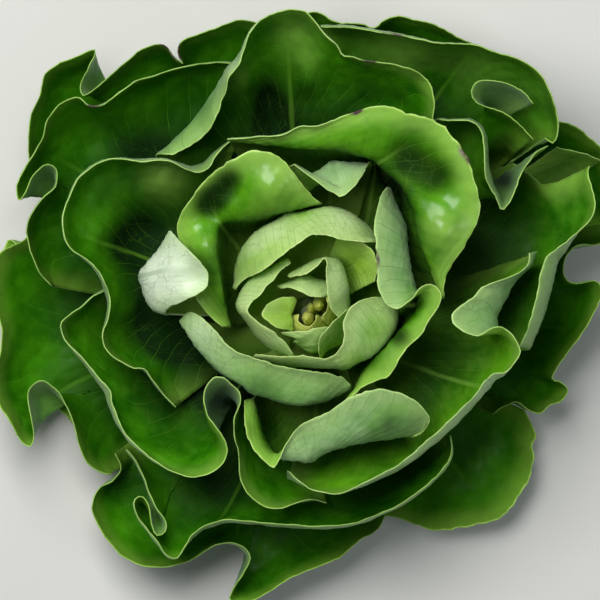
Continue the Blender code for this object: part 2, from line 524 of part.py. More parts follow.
leaf("leaf_outer_west", OUTER_FACES,
     [(-128, 37), (-135, 31.6), (-143, 28), (-147, 20), (-146.4, 6), (-142.4, -8), (-143, -19),
      (-146, -31), (-143.6, -43), (-137.8, -52), (-132.8, -60.4), (-128.6, -62.4), (-127.2, -56),
      (-129, -46), (-129.6, -36), (-124, -31.8), (-118, -35), (-112.6, -43), (-109, -52),
      (-106.6, -61), (-103, -70), (-96, -75.2), (-90, -77.4)],
     [24, 32, 36, 38, 42, 44, 40, 34, 24], [60, 70, 80, 90, 90, 80], calm=42, die=2.2,
     foot_turn=190, foot_span=74, rise=10)
leaf("leaf_outer_north_back", OUTER_FACES,
     [(86, 118.4), (79, 123.2), (71, 126.4), (64, 130.4), (57, 133.4), (49, 135.2), (42, 136.8),
      (35, 134.6), (30.6, 131.2), (25, 132.8), (17, 132), (11, 134.6), (5, 138.6), (-3, 137.6),
      (-10, 134)],
     [40, 54, 58, 60, 60, 56, 46], [90], calm=24, foot_turn=78, foot_span=64, rise=12)
leaf("leaf_outer_far_west", OUTER_FACES,
     [(-17, 127), (-24, 134), (-33, 135), (-43, 131.4), (-53, 128), (-59.4, 124.6),
      (-60.2, 119.6), (-57.6, 114.8), (-61.6, 117.2), (-66, 123.6), (-74, 123), (-82, 117.8),
      (-90, 111), (-98, 104), (-104.6, 100.2), (-105.6, 104.6), (-101, 114), (-98.4, 121.4),
      (-105, 119.2), (-115, 115.2), (-122, 109.6), (-124.8, 99), (-129, 90), (-130, 78),
      (-129.6, 66)],
     [40, 50, 54, 54, 52, 50, 54, 50, 44, 34], [85], calm=24, foot_turn=128, foot_span=70,
     rise=8)
leaf("leaf_outer_east_low", OUTER_FACES,
     [(86, -48), (92, -43.8), (98, -42), (103, -46), (108, -47.4), (113, -43.4), (118.6, -41),
      (121, -36), (117.4, -32.6), (113.4, -31.4), (118, -22.6), (124.4, -14), (130, -6),
      (134.4, 3), (136.8, 9.6), (133.6, 14.4), (127, 13.2), (121.4, 13.6), (118.4, 19),
      (120.8, 27), (126, 31.2), (133, 31.2), (139.6, 34), (141, 42)],
     [20, 30, 36, 40, 44, 48, 46, 36], [80], calm=22, foot_turn=352, foot_span=70,
     rise=10)
leaf("leaf_outer_south_east", OUTER_FACES,
     [(34, -95), (44, -96.6), (52, -100.4), (60, -102), (70, -101), (80, -99), (88, -97),
      (95, -91.4), (99.8, -83.4), (103.6, -77), (105.6, -69), (104.4, -62), (106.6, -58.8),
      (104.6, -52.6), (101, -46)],
     [12, 16, 19, 20, 17, 10], [40], calm=20, foot_turn=318, foot_span=64, rise=12)
leaf("leaf_outer_far_east", OUTER_FACES,
     [(147, 40), (145, 50), (141.4, 62), (137, 72), (130, 81.4), (121, 87.4), (114, 89),
      (104, 96)],
     [16, 26, 38, 42, 40, 30], [70], calm=22, foot_turn=28, foot_span=64, rise=16)

# Lowest leaves, mostly hidden from above, which the head also rests on
leaf("leaf_low_north", OUTER_FACES,
     [(64, 92), (56, 108), (40, 119), (22, 124), (2, 128), (-20, 127), (-44, 120), (-62, 108),
      (-74, 92)],
     [8, 14, 18, 16, 18, 14, 8], [30], calm=20, foot_turn=95, foot_span=64, rise=1)
leaf("leaf_low_west", OUTER_FACES,
     [(-104, 78), (-118, 62), (-126, 44), (-131, 26), (-140, 34), (-143, 12), (-134, -14),
      (-124, -36), (-110, -52)],
     [6, 10, 14, 14, 14, 10, 6], [30], calm=20, foot_turn=172, foot_span=64, rise=1)
leaf("leaf_low_south", OUTER_FACES,
     [(-80, -62), (-76, -84), (-60, -98), (-38, -104), (-14, -110), (10, -106), (26, -96),
      (34, -84)],
     [6, 10, 14, 12, 10, 6], [30], calm=20, foot_turn=252, foot_span=64, rise=1)
leaf("leaf_low_east", OUTER_FACES,
     [(80, -28), (92, -22), (99, -8), (97, 4), (87, 13)],
     [6, 10, 12, 14, 10, 6], [30], calm=20, foot_turn=5, foot_span=64, rise=1)


def sheet_object(spec, grid):
    """A leaf: its bent blade, thinned to fewer faces and given thickness."""
    rows, columns = grid.shape[0] - 1, grid.shape[1] - 1
    mesh = bpy.data.meshes.new(spec["name"])
    mesh.from_pydata((grid.reshape(-1, 3) * MM).tolist(), [], triangles(rows, columns))
    piece = bpy.data.objects.new(spec["name"], mesh)
    bpy.context.scene.collection.objects.link(piece)
    foot = piece.vertex_groups.new(name="foot")
    for row in range(rows // 2):
        first = row * (columns + 1)
        foot.add(list(range(first, first + columns + 1)), 1 - row / (rows / 2), "REPLACE")
    thin = piece.modifiers.new("Fewer faces", "DECIMATE")
    thin.ratio = spec["faces"] / len(mesh.polygons)
    thin.use_collapse_triangulate = True
    solid = piece.modifiers.new("Thickness", "SOLIDIFY")
    solid.thickness = BLADE_FOOT * MM
    solid.offset = 0
    solid.vertex_group = "foot"
    solid.thickness_vertex_group = BLADE_EDGE / BLADE_FOOT
    mesh.shade_smooth()
    return piece


def stem_object():
    """The short stem: a flat cut face below, tapering to the growing tip."""
    mesh = bpy.data.meshes.new("stem")
    bm = bmesh.new()
    rings = []
    profile = [(STEM_FOOT_RADIUS - STEM_BEVEL, 0.0), (STEM_FOOT_RADIUS, STEM_BEVEL_RISE)]
    profile += [(stem_radius(z), z) for z in STEM_RINGS]
    profile += [(STEM_TOP_RADIUS, STEM_TOP)]
    for radius, z in profile:
        ring = []
        for k in range(STEM_SIDES):
            turn = 2 * math.pi * k / STEM_SIDES
            ring.append(bm.verts.new((radius * math.cos(turn) * MM, radius * math.sin(turn) * MM,
                                      z * MM)))
        rings.append(ring)
    for low, high in zip(rings, rings[1:]):
        for k in range(STEM_SIDES):
            j = (k + 1) % STEM_SIDES
            bm.faces.new((low[k], low[j], high[j], high[k]))
    bm.faces.new(rings[0][::-1])
    bm.faces.new(rings[-1])
    bm.to_mesh(mesh)
    bm.free()
    mesh.shade_smooth()
    mesh.set_sharp_from_angle(angle=math.radians(SHARP_DEGREES))
    piece = bpy.data.objects.new("stem", mesh)
    bpy.context.scene.collection.objects.link(piece)
    return piece


for old in list(bpy.data.objects):
    bpy.data.objects.remove(old)

stem = stem_object()
stem.data.materials.append(material("stem", STEM_COLOUR))

set_feet(LEAVES)
inner, blades = [], {}
for spec in LEAVES:
    edge = np.linalg.norm(np.diff(flow(spec["rim"], RIM_STEPS), axis=0), axis=1).sum()
    columns = int(np.clip(edge / BEND_CELL, FEWEST_COLUMNS, MOST_COLUMNS))
    coarse = blade(spec, columns, BEND_ROWS)
    shift = bend_clear(coarse, inner, HEART_CLEAR if spec["faces"] == HEART_FACES else CLEAR,
                       spec.get("loose", 1.0))
    bent = (coarse + shift)[:, :int(columns * spec.get("shield", 1.0)) + 1]
    tree = BVHTree.FromPolygons([Vector(p) for p in bent.reshape(-1, 3)],
                                triangles(BEND_ROWS, bent.shape[1] - 1))
    inner.append((tree, bent.min(axis=(0, 1)), bent.max(axis=(0, 1)), border(bent)))
    blades[spec["name"]] = blade(spec, MESH_COLUMNS, MESH_ROWS) + finer(shift, MESH_ROWS, MESH_COLUMNS)
    piece = sheet_object(spec, blades[spec["name"]])
    piece.data.materials.append(material(spec["name"], LEAF_COLOUR))
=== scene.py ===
import math

import bpy
import numpy as np
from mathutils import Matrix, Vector, noise
from mathutils.bvhtree import BVHTree


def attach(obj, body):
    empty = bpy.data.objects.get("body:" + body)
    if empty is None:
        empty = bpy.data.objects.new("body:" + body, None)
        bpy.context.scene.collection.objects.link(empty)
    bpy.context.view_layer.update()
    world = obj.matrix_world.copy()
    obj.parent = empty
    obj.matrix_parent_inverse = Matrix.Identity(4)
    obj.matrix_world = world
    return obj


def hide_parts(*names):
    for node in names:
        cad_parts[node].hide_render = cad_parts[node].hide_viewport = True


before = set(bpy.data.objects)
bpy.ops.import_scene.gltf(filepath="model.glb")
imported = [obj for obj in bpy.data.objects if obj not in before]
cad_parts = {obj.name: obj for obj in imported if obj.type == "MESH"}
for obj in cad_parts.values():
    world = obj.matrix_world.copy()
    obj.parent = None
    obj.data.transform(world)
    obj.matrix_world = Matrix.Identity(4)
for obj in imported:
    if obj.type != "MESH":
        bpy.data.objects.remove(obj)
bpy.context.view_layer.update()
MM = 0.001


# The stem: the short pale stalk that every leaf grows from, cut flat where the
# head was picked.  Its solid keeps its shape here and gets moist, fibrous flesh.
class Shade:
    """An output of a material's nodes that can stand in sums."""

    def __init__(self, tree, out=None):
        self.tree, self.out = tree, out

    def join(self, socket, value):
        if isinstance(value, Shade):
            self.tree.links.new(value.out, socket)
        elif isinstance(value, tuple) and socket.type == "RGBA":
            socket.default_value = (*value, 1)
        else:
            socket.default_value = value

    def node(self, kind, settings, sockets, out=0):
        made = self.tree.nodes.new("ShaderNode" + kind)
        for name, value in settings.items():
            setattr(made, name, value)
        for name, value in sockets.items():
            self.join(made.inputs[name], value)
        return Shade(self.tree, made.outputs[out])

    def math(self, operation, *values):
        return self.node("Math", {"operation": operation}, dict(enumerate(values)))

    def __add__(self, other):
        return self.math("ADD", self, other)

    def __sub__(self, other):
        return self.math("SUBTRACT", self, other)

    def __rsub__(self, other):
        return self.math("SUBTRACT", other, self)

    def __mul__(self, other):
        return self.math("MULTIPLY", self, other)

    def __truediv__(self, other):
        return self.math("DIVIDE", self, other)

    def __pow__(self, other):
        return self.math("POWER", self, other)

    __radd__, __rmul__ = __add__, __mul__

    def fit(self, low, high, to_low=0.0, to_high=1.0):
        """The value carried softly from low..high to to_low..to_high."""
        return self.node("MapRange", {"interpolation_type": "SMOOTHSTEP"},
                         {0: self, 1: low, 2: high, 3: to_low, 4: to_high})

    def larger(self, other):
        return self.math("MAXIMUM", self, other)

    def tint(self, below, above):
        """A colour between two colours by this share."""
        return self.node("Mix", {"data_type": "RGBA", "clamp_factor": True},
                         {0: self, 6: below, 7: above}, 2)

    def lumps(self, place, size, detail=2.0, stretch=(1, 1, 1)):
        """Noise with lumps of a size in millimetres, 0 to 1."""
        spot = self.node("VectorMath", {"operation": "MULTIPLY"}, {0: place, 1: stretch})
        return self.node("TexNoise", {}, {"Vector": spot, "Scale": 1 / (size * MM), "Detail": detail})


def new_material(name):
    """An empty material, its output node and a pen to draw its nodes with."""
    material = bpy.data.materials.new(name)
    material.use_nodes = True
    tree = material.node_tree
    tree.nodes.clear()
    return material, tree.nodes.new("ShaderNodeOutputMaterial"), Shade(tree)


def stem_flesh():
    material, end, pen = new_material("moist stem flesh")
    place = pen.node("TexCoord", {}, {}, "Object")
    fibres = pen.lumps(place, 1.6, 3, (1, 1, 0.12))
    patches = pen.lumps(place, 9.0)
    flesh = patches.tint((0.52, 0.60, 0.34), (0.74, 0.76, 0.56))
    flesh = fibres.fit(0.55, 0.8, 0, 0.5).tint(flesh, (0.42, 0.44, 0.20))
    bump = pen.node("Bump", {}, {"Strength": 0.4, "Distance": 0.4 * MM, "Height": fibres})
    skin = pen.node("BsdfPrincipled", {}, {"Base Color": flesh, "Normal": bump,
                                           "Roughness": fibres.fit(0, 1, 0.3, 0.5),
                                           "Subsurface Weight": 0.2, "Subsurface Scale": 2 * MM,
                                           "Coat Weight": 0.2, "Coat Roughness": 0.2})
    pen.join(end.inputs["Surface"], skin)
    return material


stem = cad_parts["stem"]
stem.data.materials.clear()
stem.data.materials.append(stem_flesh())


# The heart: small pale leaves closed round the growing tip, thin, satiny and
# almost white at their feet.  Each grows from a foot arc on the stem, is drawn by
# its free edge in millimetres, and bends clear of the leaves inside it.
STEM_FOOT_RADIUS, STEM_TIP_RADIUS, STEM_HEIGHT, STEM_GAP = 15.0, 4.0, 64.0, 0.5
TOP_FOOT, FOOT_STEP, FOOT_CLEAR, FOOT_APART_DEGREES = 58.0, 1.35, 2.5, 6
FOOT_THICK, FOOT_OFF_SHARE, FOOT_ROUND = 1.2, 0.7, 0.6
CALM, WAVE_START, WAVE_POWER, FINE_WAVE = 26.0, 0.25, 1.7, 5.0
FOLD_SHARE, FOLD_WAVE_START, FOLD_CALM = 0.6, 0.48, 6.0
BLADE_PULL, FOLD_PULL = 0.42, 0.36
RIB_DEPTH, RIB_WIDTH, RIB_TIP, RIB_SPREAD = 2.0, 4.0, 0.6, 0.8
LINE_STEPS, SPREAD_STEPS, SPREAD_LENGTH = 12, 240, 50.0
grown = []


def flow(points, count):
    """A smooth line through the points, with count + 1 even steps of length."""
    pts = np.array(points, float)
    pts = np.vstack([2 * pts[0] - pts[1], pts, 2 * pts[-1] - pts[-2]])
    line = []
    for p0, p1, p2, p3 in zip(pts, pts[1:], pts[2:], pts[3:]):
        k0, k1, k2 = (max(np.linalg.norm(b - a), 1e-6) ** 0.5
                      for a, b in ((p0, p1), (p1, p2), (p2, p3)))
        m1 = (p2 - p1) + k1 * ((p1 - p0) / k0 - (p2 - p0) / (k0 + k1))
        m2 = (p2 - p1) + k1 * ((p3 - p2) / k2 - (p3 - p1) / (k1 + k2))
        for t in np.linspace(0, 1, LINE_STEPS, endpoint=False):
            line.append((2 * t**3 - 3 * t**2 + 1) * p1 + (t**3 - 2 * t**2 + t) * m1
                        + (3 * t**2 - 2 * t**3) * p2 + (t**3 - t**2) * m2)
    line.append(pts[-2])
    line = np.array(line)
    length = np.concatenate([[0], np.cumsum(np.linalg.norm(np.diff(line, axis=0), axis=1))])
    at = np.linspace(0, length[-1], count + 1)
    return np.column_stack([np.interp(at, length, line[:, k]) for k in range(line.shape[1])])


def spread(values, count):
    """A few values spread evenly along a line, read smoothly at each step."""
    if len(values) == 1:
        return np.full(count + 1, float(values[0]))
    line = flow(np.column_stack([np.arange(len(values)) * SPREAD_LENGTH, values]), SPREAD_STEPS)
    return line[np.linspace(0, SPREAD_STEPS, count + 1).round().astype(int), 1]


def smooth(line, width):
    """The line smoothed over a width in millimetres, with its ends kept."""
    step = np.linalg.norm(np.diff(line[:, :3], axis=0), axis=1).mean()
    sigma = width / step
    if sigma < 0.4:
        return line.copy()
    reach = min(int(3 * sigma) + 1, len(line) - 1)
    before = 2 * line[0] - line[reach:0:-1]
    after = 2 * line[-1] - line[-2:-reach - 2:-1]
    long = np.vstack([before, line, after])
    kernel = np.exp(-0.5 * (np.arange(-reach, reach + 1) / sigma) ** 2)
    kernel /= kernel.sum()
    return np.column_stack([np.convolve(long[:, k], kernel, "valid") for k in range(line.shape[1])])


def level(xy):
    """Unit directions in plan."""
    return xy / np.maximum(np.linalg.norm(xy, axis=1, keepdims=True), 1e-6)


def slant(out, degrees):
    """Directions that rise at these angles from the outward way."""
    turn = np.radians(degrees)[:, None]
    return np.hstack([out * np.cos(turn), np.sin(turn)])


def arc(start, start_way, end, end_way, pull, t):
    """Points at t on the cubic from start to end, with the given end ways."""
    reach = np.linalg.norm(end - start, axis=1, keepdims=True) * pull
    a, b = start + start_way * reach, end - end_way * reach
    s = 1 - t
    return s**3 * start + 3 * s * s * t * a + 3 * s * t * t * b + t**3 * end


def place_foot(leaf):
    """Sets a foot's height: down the stem from the heart out, clear where feet overlap."""
    leaf["foot_z"] = TOP_FOOT - FOOT_STEP * len(grown)
    for other in grown:
        apart = abs((leaf["foot_turn"] - other["foot_turn"] + 180) % 360 - 180)
        if apart < (leaf["foot_span"] + other["foot_span"]) / 2 + FOOT_APART_DEGREES:
            leaf["foot_z"] = min(leaf["foot_z"], other["foot_z"] - FOOT_CLEAR)


def stem_radius(z):
    """Radius of the stem at a height."""
    return STEM_FOOT_RADIUS + (STEM_TIP_RADIUS - STEM_FOOT_RADIUS) * max(z, 0) / STEM_HEIGHT


def blade(leaf, columns, shares):
    """Grid of points of a leaf before it bends, one row at each share of its length."""
    rim = np.column_stack([flow(leaf["rim"], columns), spread(leaf["heights"], columns)])
    calm = leaf.get("calm", CALM)
    lead = smooth(rim, calm)
    turn = np.radians(leaf["foot_turn"] + leaf["foot_span"] * np.linspace(-0.5, 0.5, columns + 1))
    radius = stem_radius(leaf["foot_z"]) + STEM_GAP + FOOT_THICK * FOOT_OFF_SHARE
    foot = np.column_stack([radius * np.cos(turn), radius * np.sin(turn),
                            np.full(columns + 1, leaf["foot_z"])])
    out = level(lead[:, :2])
    to_lead = level(lead[:, :2] - foot[:, :2]) * radius
    foot_out = level(foot[:, :2] * FOOT_ROUND + to_lead * (1 - FOOT_ROUND))
    lean = slant(out, spread(leaf["lean"], columns))
    rise = slant(foot_out, np.full(columns + 1, leaf["rise"]))
    upright = slant(out, np.full(columns + 1, 90.0))
    start = WAVE_START
    if "fold" in leaf:
        fold = np.column_stack([flow(leaf["fold"], columns), spread(leaf["fold_heights"], columns)])
        fold = smooth(fold, FOLD_CALM)
        start = FOLD_WAVE_START
    grid = []
    for v in shares:
        if "fold" not in leaf:
            row = arc(foot, rise, lead, lean, BLADE_PULL, v)
        elif v < FOLD_SHARE:
            row = arc(foot, rise, fold, upright, BLADE_PULL, v / FOLD_SHARE)
        else:
            row = arc(fold, upright, lead, lean, FOLD_PULL, (v - FOLD_SHARE) / (1 - FOLD_SHARE))
        share = max(0.0, (v - start) / (1 - start))
        if "unfold" in leaf:
            wave = smooth(rim, calm * (1 - share) ** leaf["unfold"]) - lead
        else:
            wave = smooth(rim, FINE_WAVE * (1 - share)) - lead
            wave *= share ** leaf.get("die", WAVE_POWER)
        grid.append(row + wave)
    return groove(np.array(grid), shares)


def groove(grid, shares):
    """The midrib: a channel along the blade that fades towards the edge."""
    column = (grid.shape[1] - 1) // 2
    away = np.linalg.norm(grid - grid[:, column:column + 1], axis=2)
    fade = (1 - shares ** 2)[:, None]
    width = RIB_WIDTH * (RIB_TIP + RIB_SPREAD * fade)
    depth = RIB_DEPTH * fade * np.exp(-(away / width) ** 2)
    depth[0] = 0
    return grid + facing(grid) * depth[..., None]


def facing(grid):
    """Unit normals of a grid, on the leaf's underside."""
    normal = np.cross(np.gradient(grid, axis=1), np.gradient(grid, axis=0))
    return normal / np.maximum(np.linalg.norm(normal, axis=2, keepdims=True), 1e-9)


def triangles(rows, columns):
    """Triangles of a grid, each cell cut along the same diagonal."""
    faces = []
    for r in range(rows):
        for a in range(r * (columns + 1), r * (columns + 1) + columns):
            b = a + columns + 1
            faces += [(a, a + 1, b + 1), (a, b + 1, b)]
    return faces


def border(grid):
    """Points round the free edges of a blade, its foot left out."""
    return np.vstack([grid[1:, 0], grid[1:, -1], grid[-1, 1:-1],
                      (grid[-1, 1:] + grid[-1, :-1]) / 2])


def eased(field):
    """A field of shifts evened out over neighbouring points."""
    for _ in range(2):
        wide = np.pad(field, ((1, 1), (1, 1), (0, 0)), mode="edge")
        field = (wide[:-2, 1:-1] + wide[2:, 1:-1] + wide[1:-1, :-2] + wide[1:-1, 2:]
                 + 2 * field) / 6
    return field


BEND_CELL, BEND_ROWS, BEND_ROUNDS, LAST_ROUNDS = 5.0, 16, 16, 4
FEWEST_COLUMNS, MOST_COLUMNS, RIM_STEPS = 12, 64, 60
DEEPEST, FLOOR_CLEAR, STIFF_ROWS, FACED, AT_REST = 12.0, 1.4, 4.0, 0.75, 0.05


def bend_clear(grid, clear, loose):
    """Shifts that carry a blade, up to its loose top, clear of the leaves inside it."""
    rows, columns = grid.shape[0] - 1, grid.shape[1] - 1
    faces = triangles(rows, columns)
    shift = np.zeros_like(grid)
    firm = np.arange(rows + 1) <= loose * rows
    hold = np.clip(np.arange(rows + 1) / STIFF_ROWS, 0, 1)[:, None, None] ** 1.5
    for round_no in range(BEND_ROUNDS):
        now = grid + shift
        push = np.zeros_like(grid)
        own = BVHTree.FromPolygons([Vector(p) for p in now.reshape(-1, 3)], faces)
        low, high = now.min(axis=(0, 1)) - clear, now.max(axis=(0, 1)) + clear
        for other in grown:
            tree, edge = other["tree"], other["edge"]
            tree_low, tree_high = other["low"], other["high"]
            if np.any(low > tree_high) or np.any(high < tree_low):
                continue
            near_by = np.all((now > tree_low - clear) & (now < tree_high + clear), axis=2)
            near_by &= firm[:, None]
            for r, c in zip(*np.nonzero(near_by)):
                p = Vector(now[r, c])
                near, normal, _, gap = tree.find_nearest(p, DEEPEST)
                if near is None:
                    continue
                side = (p - near).dot(normal)
                if abs(side) > FACED * gap:
                    move = normal * max(0.0, clear - side)
                elif gap < clear:
                    move = (p - near).normalized() * (clear - gap)
                else:
                    continue
                if move.length > np.linalg.norm(push[r, c]):
                    push[r, c] = move
            for q in edge[np.all((edge > low) & (edge < high), axis=1)]:
                near, normal, face, gap = own.find_nearest(Vector(q), DEEPEST / 2)
                if near is None:
                    continue
                side = (Vector(q) - near).dot(normal)
                if abs(side) > FACED * gap and side + clear > 0:
                    move = normal * (side + clear)
                    for corner in faces[face]:
                        r, c = divmod(corner, columns + 1)
                        if firm[r] and move.length > np.linalg.norm(push[r, c]):
                            push[r, c] = move
        push[..., 2] += np.maximum(FLOOR_CLEAR - (now[..., 2] + push[..., 2]), 0)
        if np.abs(push).max() < AT_REST:
            break
        if round_no < BEND_ROUNDS - LAST_ROUNDS:
            soft = eased(push)
            larger = (np.linalg.norm(push, axis=2, keepdims=True)
                      > np.linalg.norm(soft, axis=2, keepdims=True))
            shift += np.where(larger, 0.5 * push + 0.5 * soft, soft) * hold
        else:
            shift += push * hold
    return shift


def finer(shift, shares, columns):
    """A shift read at every point of a finer grid."""
    old_rows, old_columns = shift.shape[0] - 1, shift.shape[1] - 1
    r, c = shares * old_rows, np.linspace(0, old_columns, columns + 1)
    down = np.array([[np.interp(r, np.arange(old_rows + 1), shift[:, k, a])
                      for k in range(old_columns + 1)] for a in range(3)])
    return np.array([[np.interp(c, np.arange(old_columns + 1), down[a, :, k])
                      for k in range(len(shares))] for a in range(3)]).transpose(1, 2, 0)


SEED_STEP = 7.3


def mottle(grid, size, seed):
    """Soft random heights, -1 to 1, in lumps of a size in millimetres."""
    flat = grid.reshape(-1, 3) / size + seed * SEED_STEP
    return np.array([noise.noise(p) for p in flat.tolist()]).reshape(grid.shape[:2])


def lumpy(grid, kinds, seed, start=0):
    """A start value with several kinds of lump added, each with its height and size."""
    return sum((height * mottle(grid, size, seed + k) for k, (height, size) in enumerate(kinds)),
               start)


# Where the head as a whole bulges or is hollow: x, y, reach and height, in millimetres.
# Next come its random pillows, with height and size, and where all of these fade out:
# near the heart, near the table and near the top.
SWELLS = [(-46, 47, 8, -13), (-35, 58, 6, -9), (-16, 57, 11, 8), (-49, 28, 7, 5), (-50, 14, 8, -5),
          (46, 70, 14, -12), (58, 62, 9, -8), (-19, 99, 6, -11), (-17, 90, 6, -9), (-30, 107, 7, 4),
          (-64, 62, 7, 6), (-81, 34, 10, -7), (-77, -8, 9, -6), (62, 36, 9, 6), (70, 66, 8, 3),
          (20, 86, 10, 4), (-76, 60, 16, 5), (-70, 38, 14, -8), (-98, 34, 10, 5), (-84, -6, 12, -6),
          (-60, -40, 14, -8), (-66, -66, 12, 5), (50, -62, 16, -8), (20, -74, 12, 5),
          (78, -34, 10, 5), (0, 118, 12, 6), (0, 106, 6, 5), (28, 100, 12, -7), (60, 108, 12, -6),
          (84, 112, 10, 4), (-80, 96, 12, 5), (-104, 78, 12, -6), (118, 50, 10, 5),
          (106, 28, 10, -6), (-132, 8, 12, 4), (-122, -30, 12, -5), (-70, -106, 12, 4),
          (-10, -110, 10, -4), (80, -84, 14, 3), (126, 0, 12, 4)]
SWELL_SHARE = 0.8
PILLOWS, PILLOW_SEED, PILLOW_STRETCH = ((2.6, 30), (1.4, 15)), 60, (1, 1, 0.35)
HEART_REACH, HEART_FADE, FLOOR_REACH, FLOOR_FADE = 22, 25, 14, 40
TOP_REACH, TOP_FADE, TOP_SHARE = 126, 14, 0.3


def swelled(grid):
    """The grid with the soft pillows and hollows that run through the whole head."""
    x, y, z = grid[..., 0], grid[..., 1], grid[..., 2]
    rise = lumpy(grid * PILLOW_STRETCH, PILLOWS, PILLOW_SEED)
    for at_x, at_y, reach, height in SWELLS:
        rise += SWELL_SHARE * height * np.exp(-((x - at_x) ** 2 + (y - at_y) ** 2) / reach**2)
    hold = (np.clip((np.hypot(x, y) - HEART_REACH) / HEART_FADE, 0, 1)
            * np.clip((z - FLOOR_REACH) / FLOOR_FADE, 0, 1)
            * np.clip((TOP_REACH - z) / TOP_FADE, TOP_SHARE, 1))
    return grid + np.stack([0 * x, 0 * x, rise * hold], axis=2)


# Spacing and slant of the two families of veins, as shares of a blade's length, and
# how they stray along and across it; then height and size of the random puckers
# between them and of the nicks at the edge, which reach a few millimetres in
SIDE_VEIN, SIDE_SLOPE, CROSS_VEIN, CROSS_SLOPE = 0.15, 3.0, 0.11, -1.6
STRAY_ALONG, STRAY_ACROSS = ((0.07, 26), (0.014, 9)), ((0.045, 24), (0.009, 8))
PILLOW_RISE, PUCKERS = 0.7, ((0.7, 11), (0.35, 5))
NICKS, NICK_REACH, SIDE_MARGIN = ((1.2, 5), (0.7, 2.4)), 3.0, 0.6


def quilt(across, along, spacing, slope):
    """1 on the veins of one family and 0 midway between two of them."""
    phase = (along - slope * np.abs(across) ** 0.9) / spacing + 0.5 * (across > 0)
    return np.abs(phase % 1 - 0.5) * 2


def relief(grid, shares, seed, depth):
    """The blade with its puckers, sunken veins and crisp edge, and what its skin reads."""
    columns = grid.shape[1] - 1
    steps = np.linalg.norm(np.diff(grid, axis=0), axis=2)
    from_foot = np.vstack([np.zeros(columns + 1), np.cumsum(steps, axis=0)])
    to_edge = from_foot[-1] - from_foot
    widths = np.cumsum(np.linalg.norm(np.diff(grid, axis=1), axis=2), axis=1)
    widths = np.hstack([np.zeros((len(grid), 1)), widths])
    edge = np.minimum(to_edge, np.minimum(widths, widths[:, -1:] - widths) + SIDE_MARGIN)
    rib = np.abs(widths - widths[:, columns // 2][:, None])
    v = shares[:, None] + np.zeros(columns + 1)
    u = np.linspace(-0.5, 0.5, columns + 1) + np.zeros_like(v)
    along = lumpy(grid, STRAY_ALONG, seed, v)
    across = u + lumpy(grid, STRAY_ACROSS, seed + 2) * v
    side = quilt(across, along, SIDE_VEIN, SIDE_SLOPE)
    cross = quilt(across, along, CROSS_VEIN, CROSS_SLOPE)
    fade = np.clip(v * 3, 0, 1) * (1 - 0.5 * v**3)
    lift = PILLOW_RISE * ((1 - side**3) * (0.55 + 0.45 * (1 - cross**2)) - 0.5) * fade
    for k, (height, size) in enumerate(PUCKERS):
        lift += height * mottle(grid, size, seed + 4 + k) * fade
    ways = np.gradient(grid, axis=0)
    ways /= np.maximum(np.linalg.norm(ways, axis=2, keepdims=True), 1e-9)
    nibble = depth * np.exp(-to_edge / NICK_REACH) * lumpy(grid, NICKS, seed + 6)
    grid = grid - facing(grid) * (depth * lift)[..., None] + ways * nibble[..., None]
    return grid, edge, rib, across, along


def settle(leaf, length, clear):
    """Puts a leaf on the stem, clear of those inside it, and gives how far its blade bends."""
    place_foot(leaf)
    columns = int(np.clip(length / BEND_CELL, FEWEST_COLUMNS, MOST_COLUMNS))
    coarse = blade(leaf, columns, np.linspace(0, 1, BEND_ROWS + 1))
    shift = bend_clear(coarse, clear, leaf.get("loose", 1.0))
    bent = (coarse + shift)[:, :int(columns * leaf.get("shield", 1.0)) + 1]
    leaf["tree"] = BVHTree.FromPolygons([Vector(p) for p in bent.reshape(-1, 3)],
                                        triangles(BEND_ROWS, bent.shape[1] - 1))
    leaf["low"], leaf["high"] = bent.min(axis=(0, 1)), bent.max(axis=(0, 1))
    leaf["edge"] = border(bent)
    grown.append(leaf)
    return shift


TABLE_CLEAR = 0.2


def sheet(name, under, upper, skin):
    """A closed mesh between the grids of a blade's underside and its upper side."""
    rows, columns = under.shape[0] - 1, under.shape[1] - 1
    points = np.vstack([under.reshape(-1, 3), upper.reshape(-1, 3)])
    points[:, 2] = np.maximum(points[:, 2], TABLE_CLEAR)
    wide, top = columns + 1, (rows + 1) * (columns + 1)
    quads = [(a, a + 1, a + 1 + wide, a + wide) for r in range(rows)
             for a in range(r * wide, r * wide + columns)]
    back = [tuple(corner + top for corner in quad[::-1]) for quad in quads]
    last = rows * wide
    rims = [(a + 1, a, a + top, a + 1 + top) for a in range(columns)]
    rims += [(a, a + 1, a + 1 + top, a + top) for a in range(last, last + columns)]
    rims += [(a, a + wide, a + wide + top, a + top) for a in range(0, last, wide)]
    rims += [(a + wide, a, a + top, a + wide + top) for a in range(columns, last, wide)]
    mesh = bpy.data.meshes.new(name + "_blade")
    mesh.from_pydata((points * MM).tolist(), [], quads + back + rims)
    for material in skin[:2]:
        mesh.materials.append(material)
    index = np.zeros(len(mesh.polygons), np.int32)
    index[len(quads):2 * len(quads)] = 1
    mesh.polygons.foreach_set("material_index", index)
    mesh.shade_smooth()
    return mesh


FOOT_PALENESS, FOOT_PALE_SHARE, BRUISE_DEPTH = 0.75, 2.2, 1.6


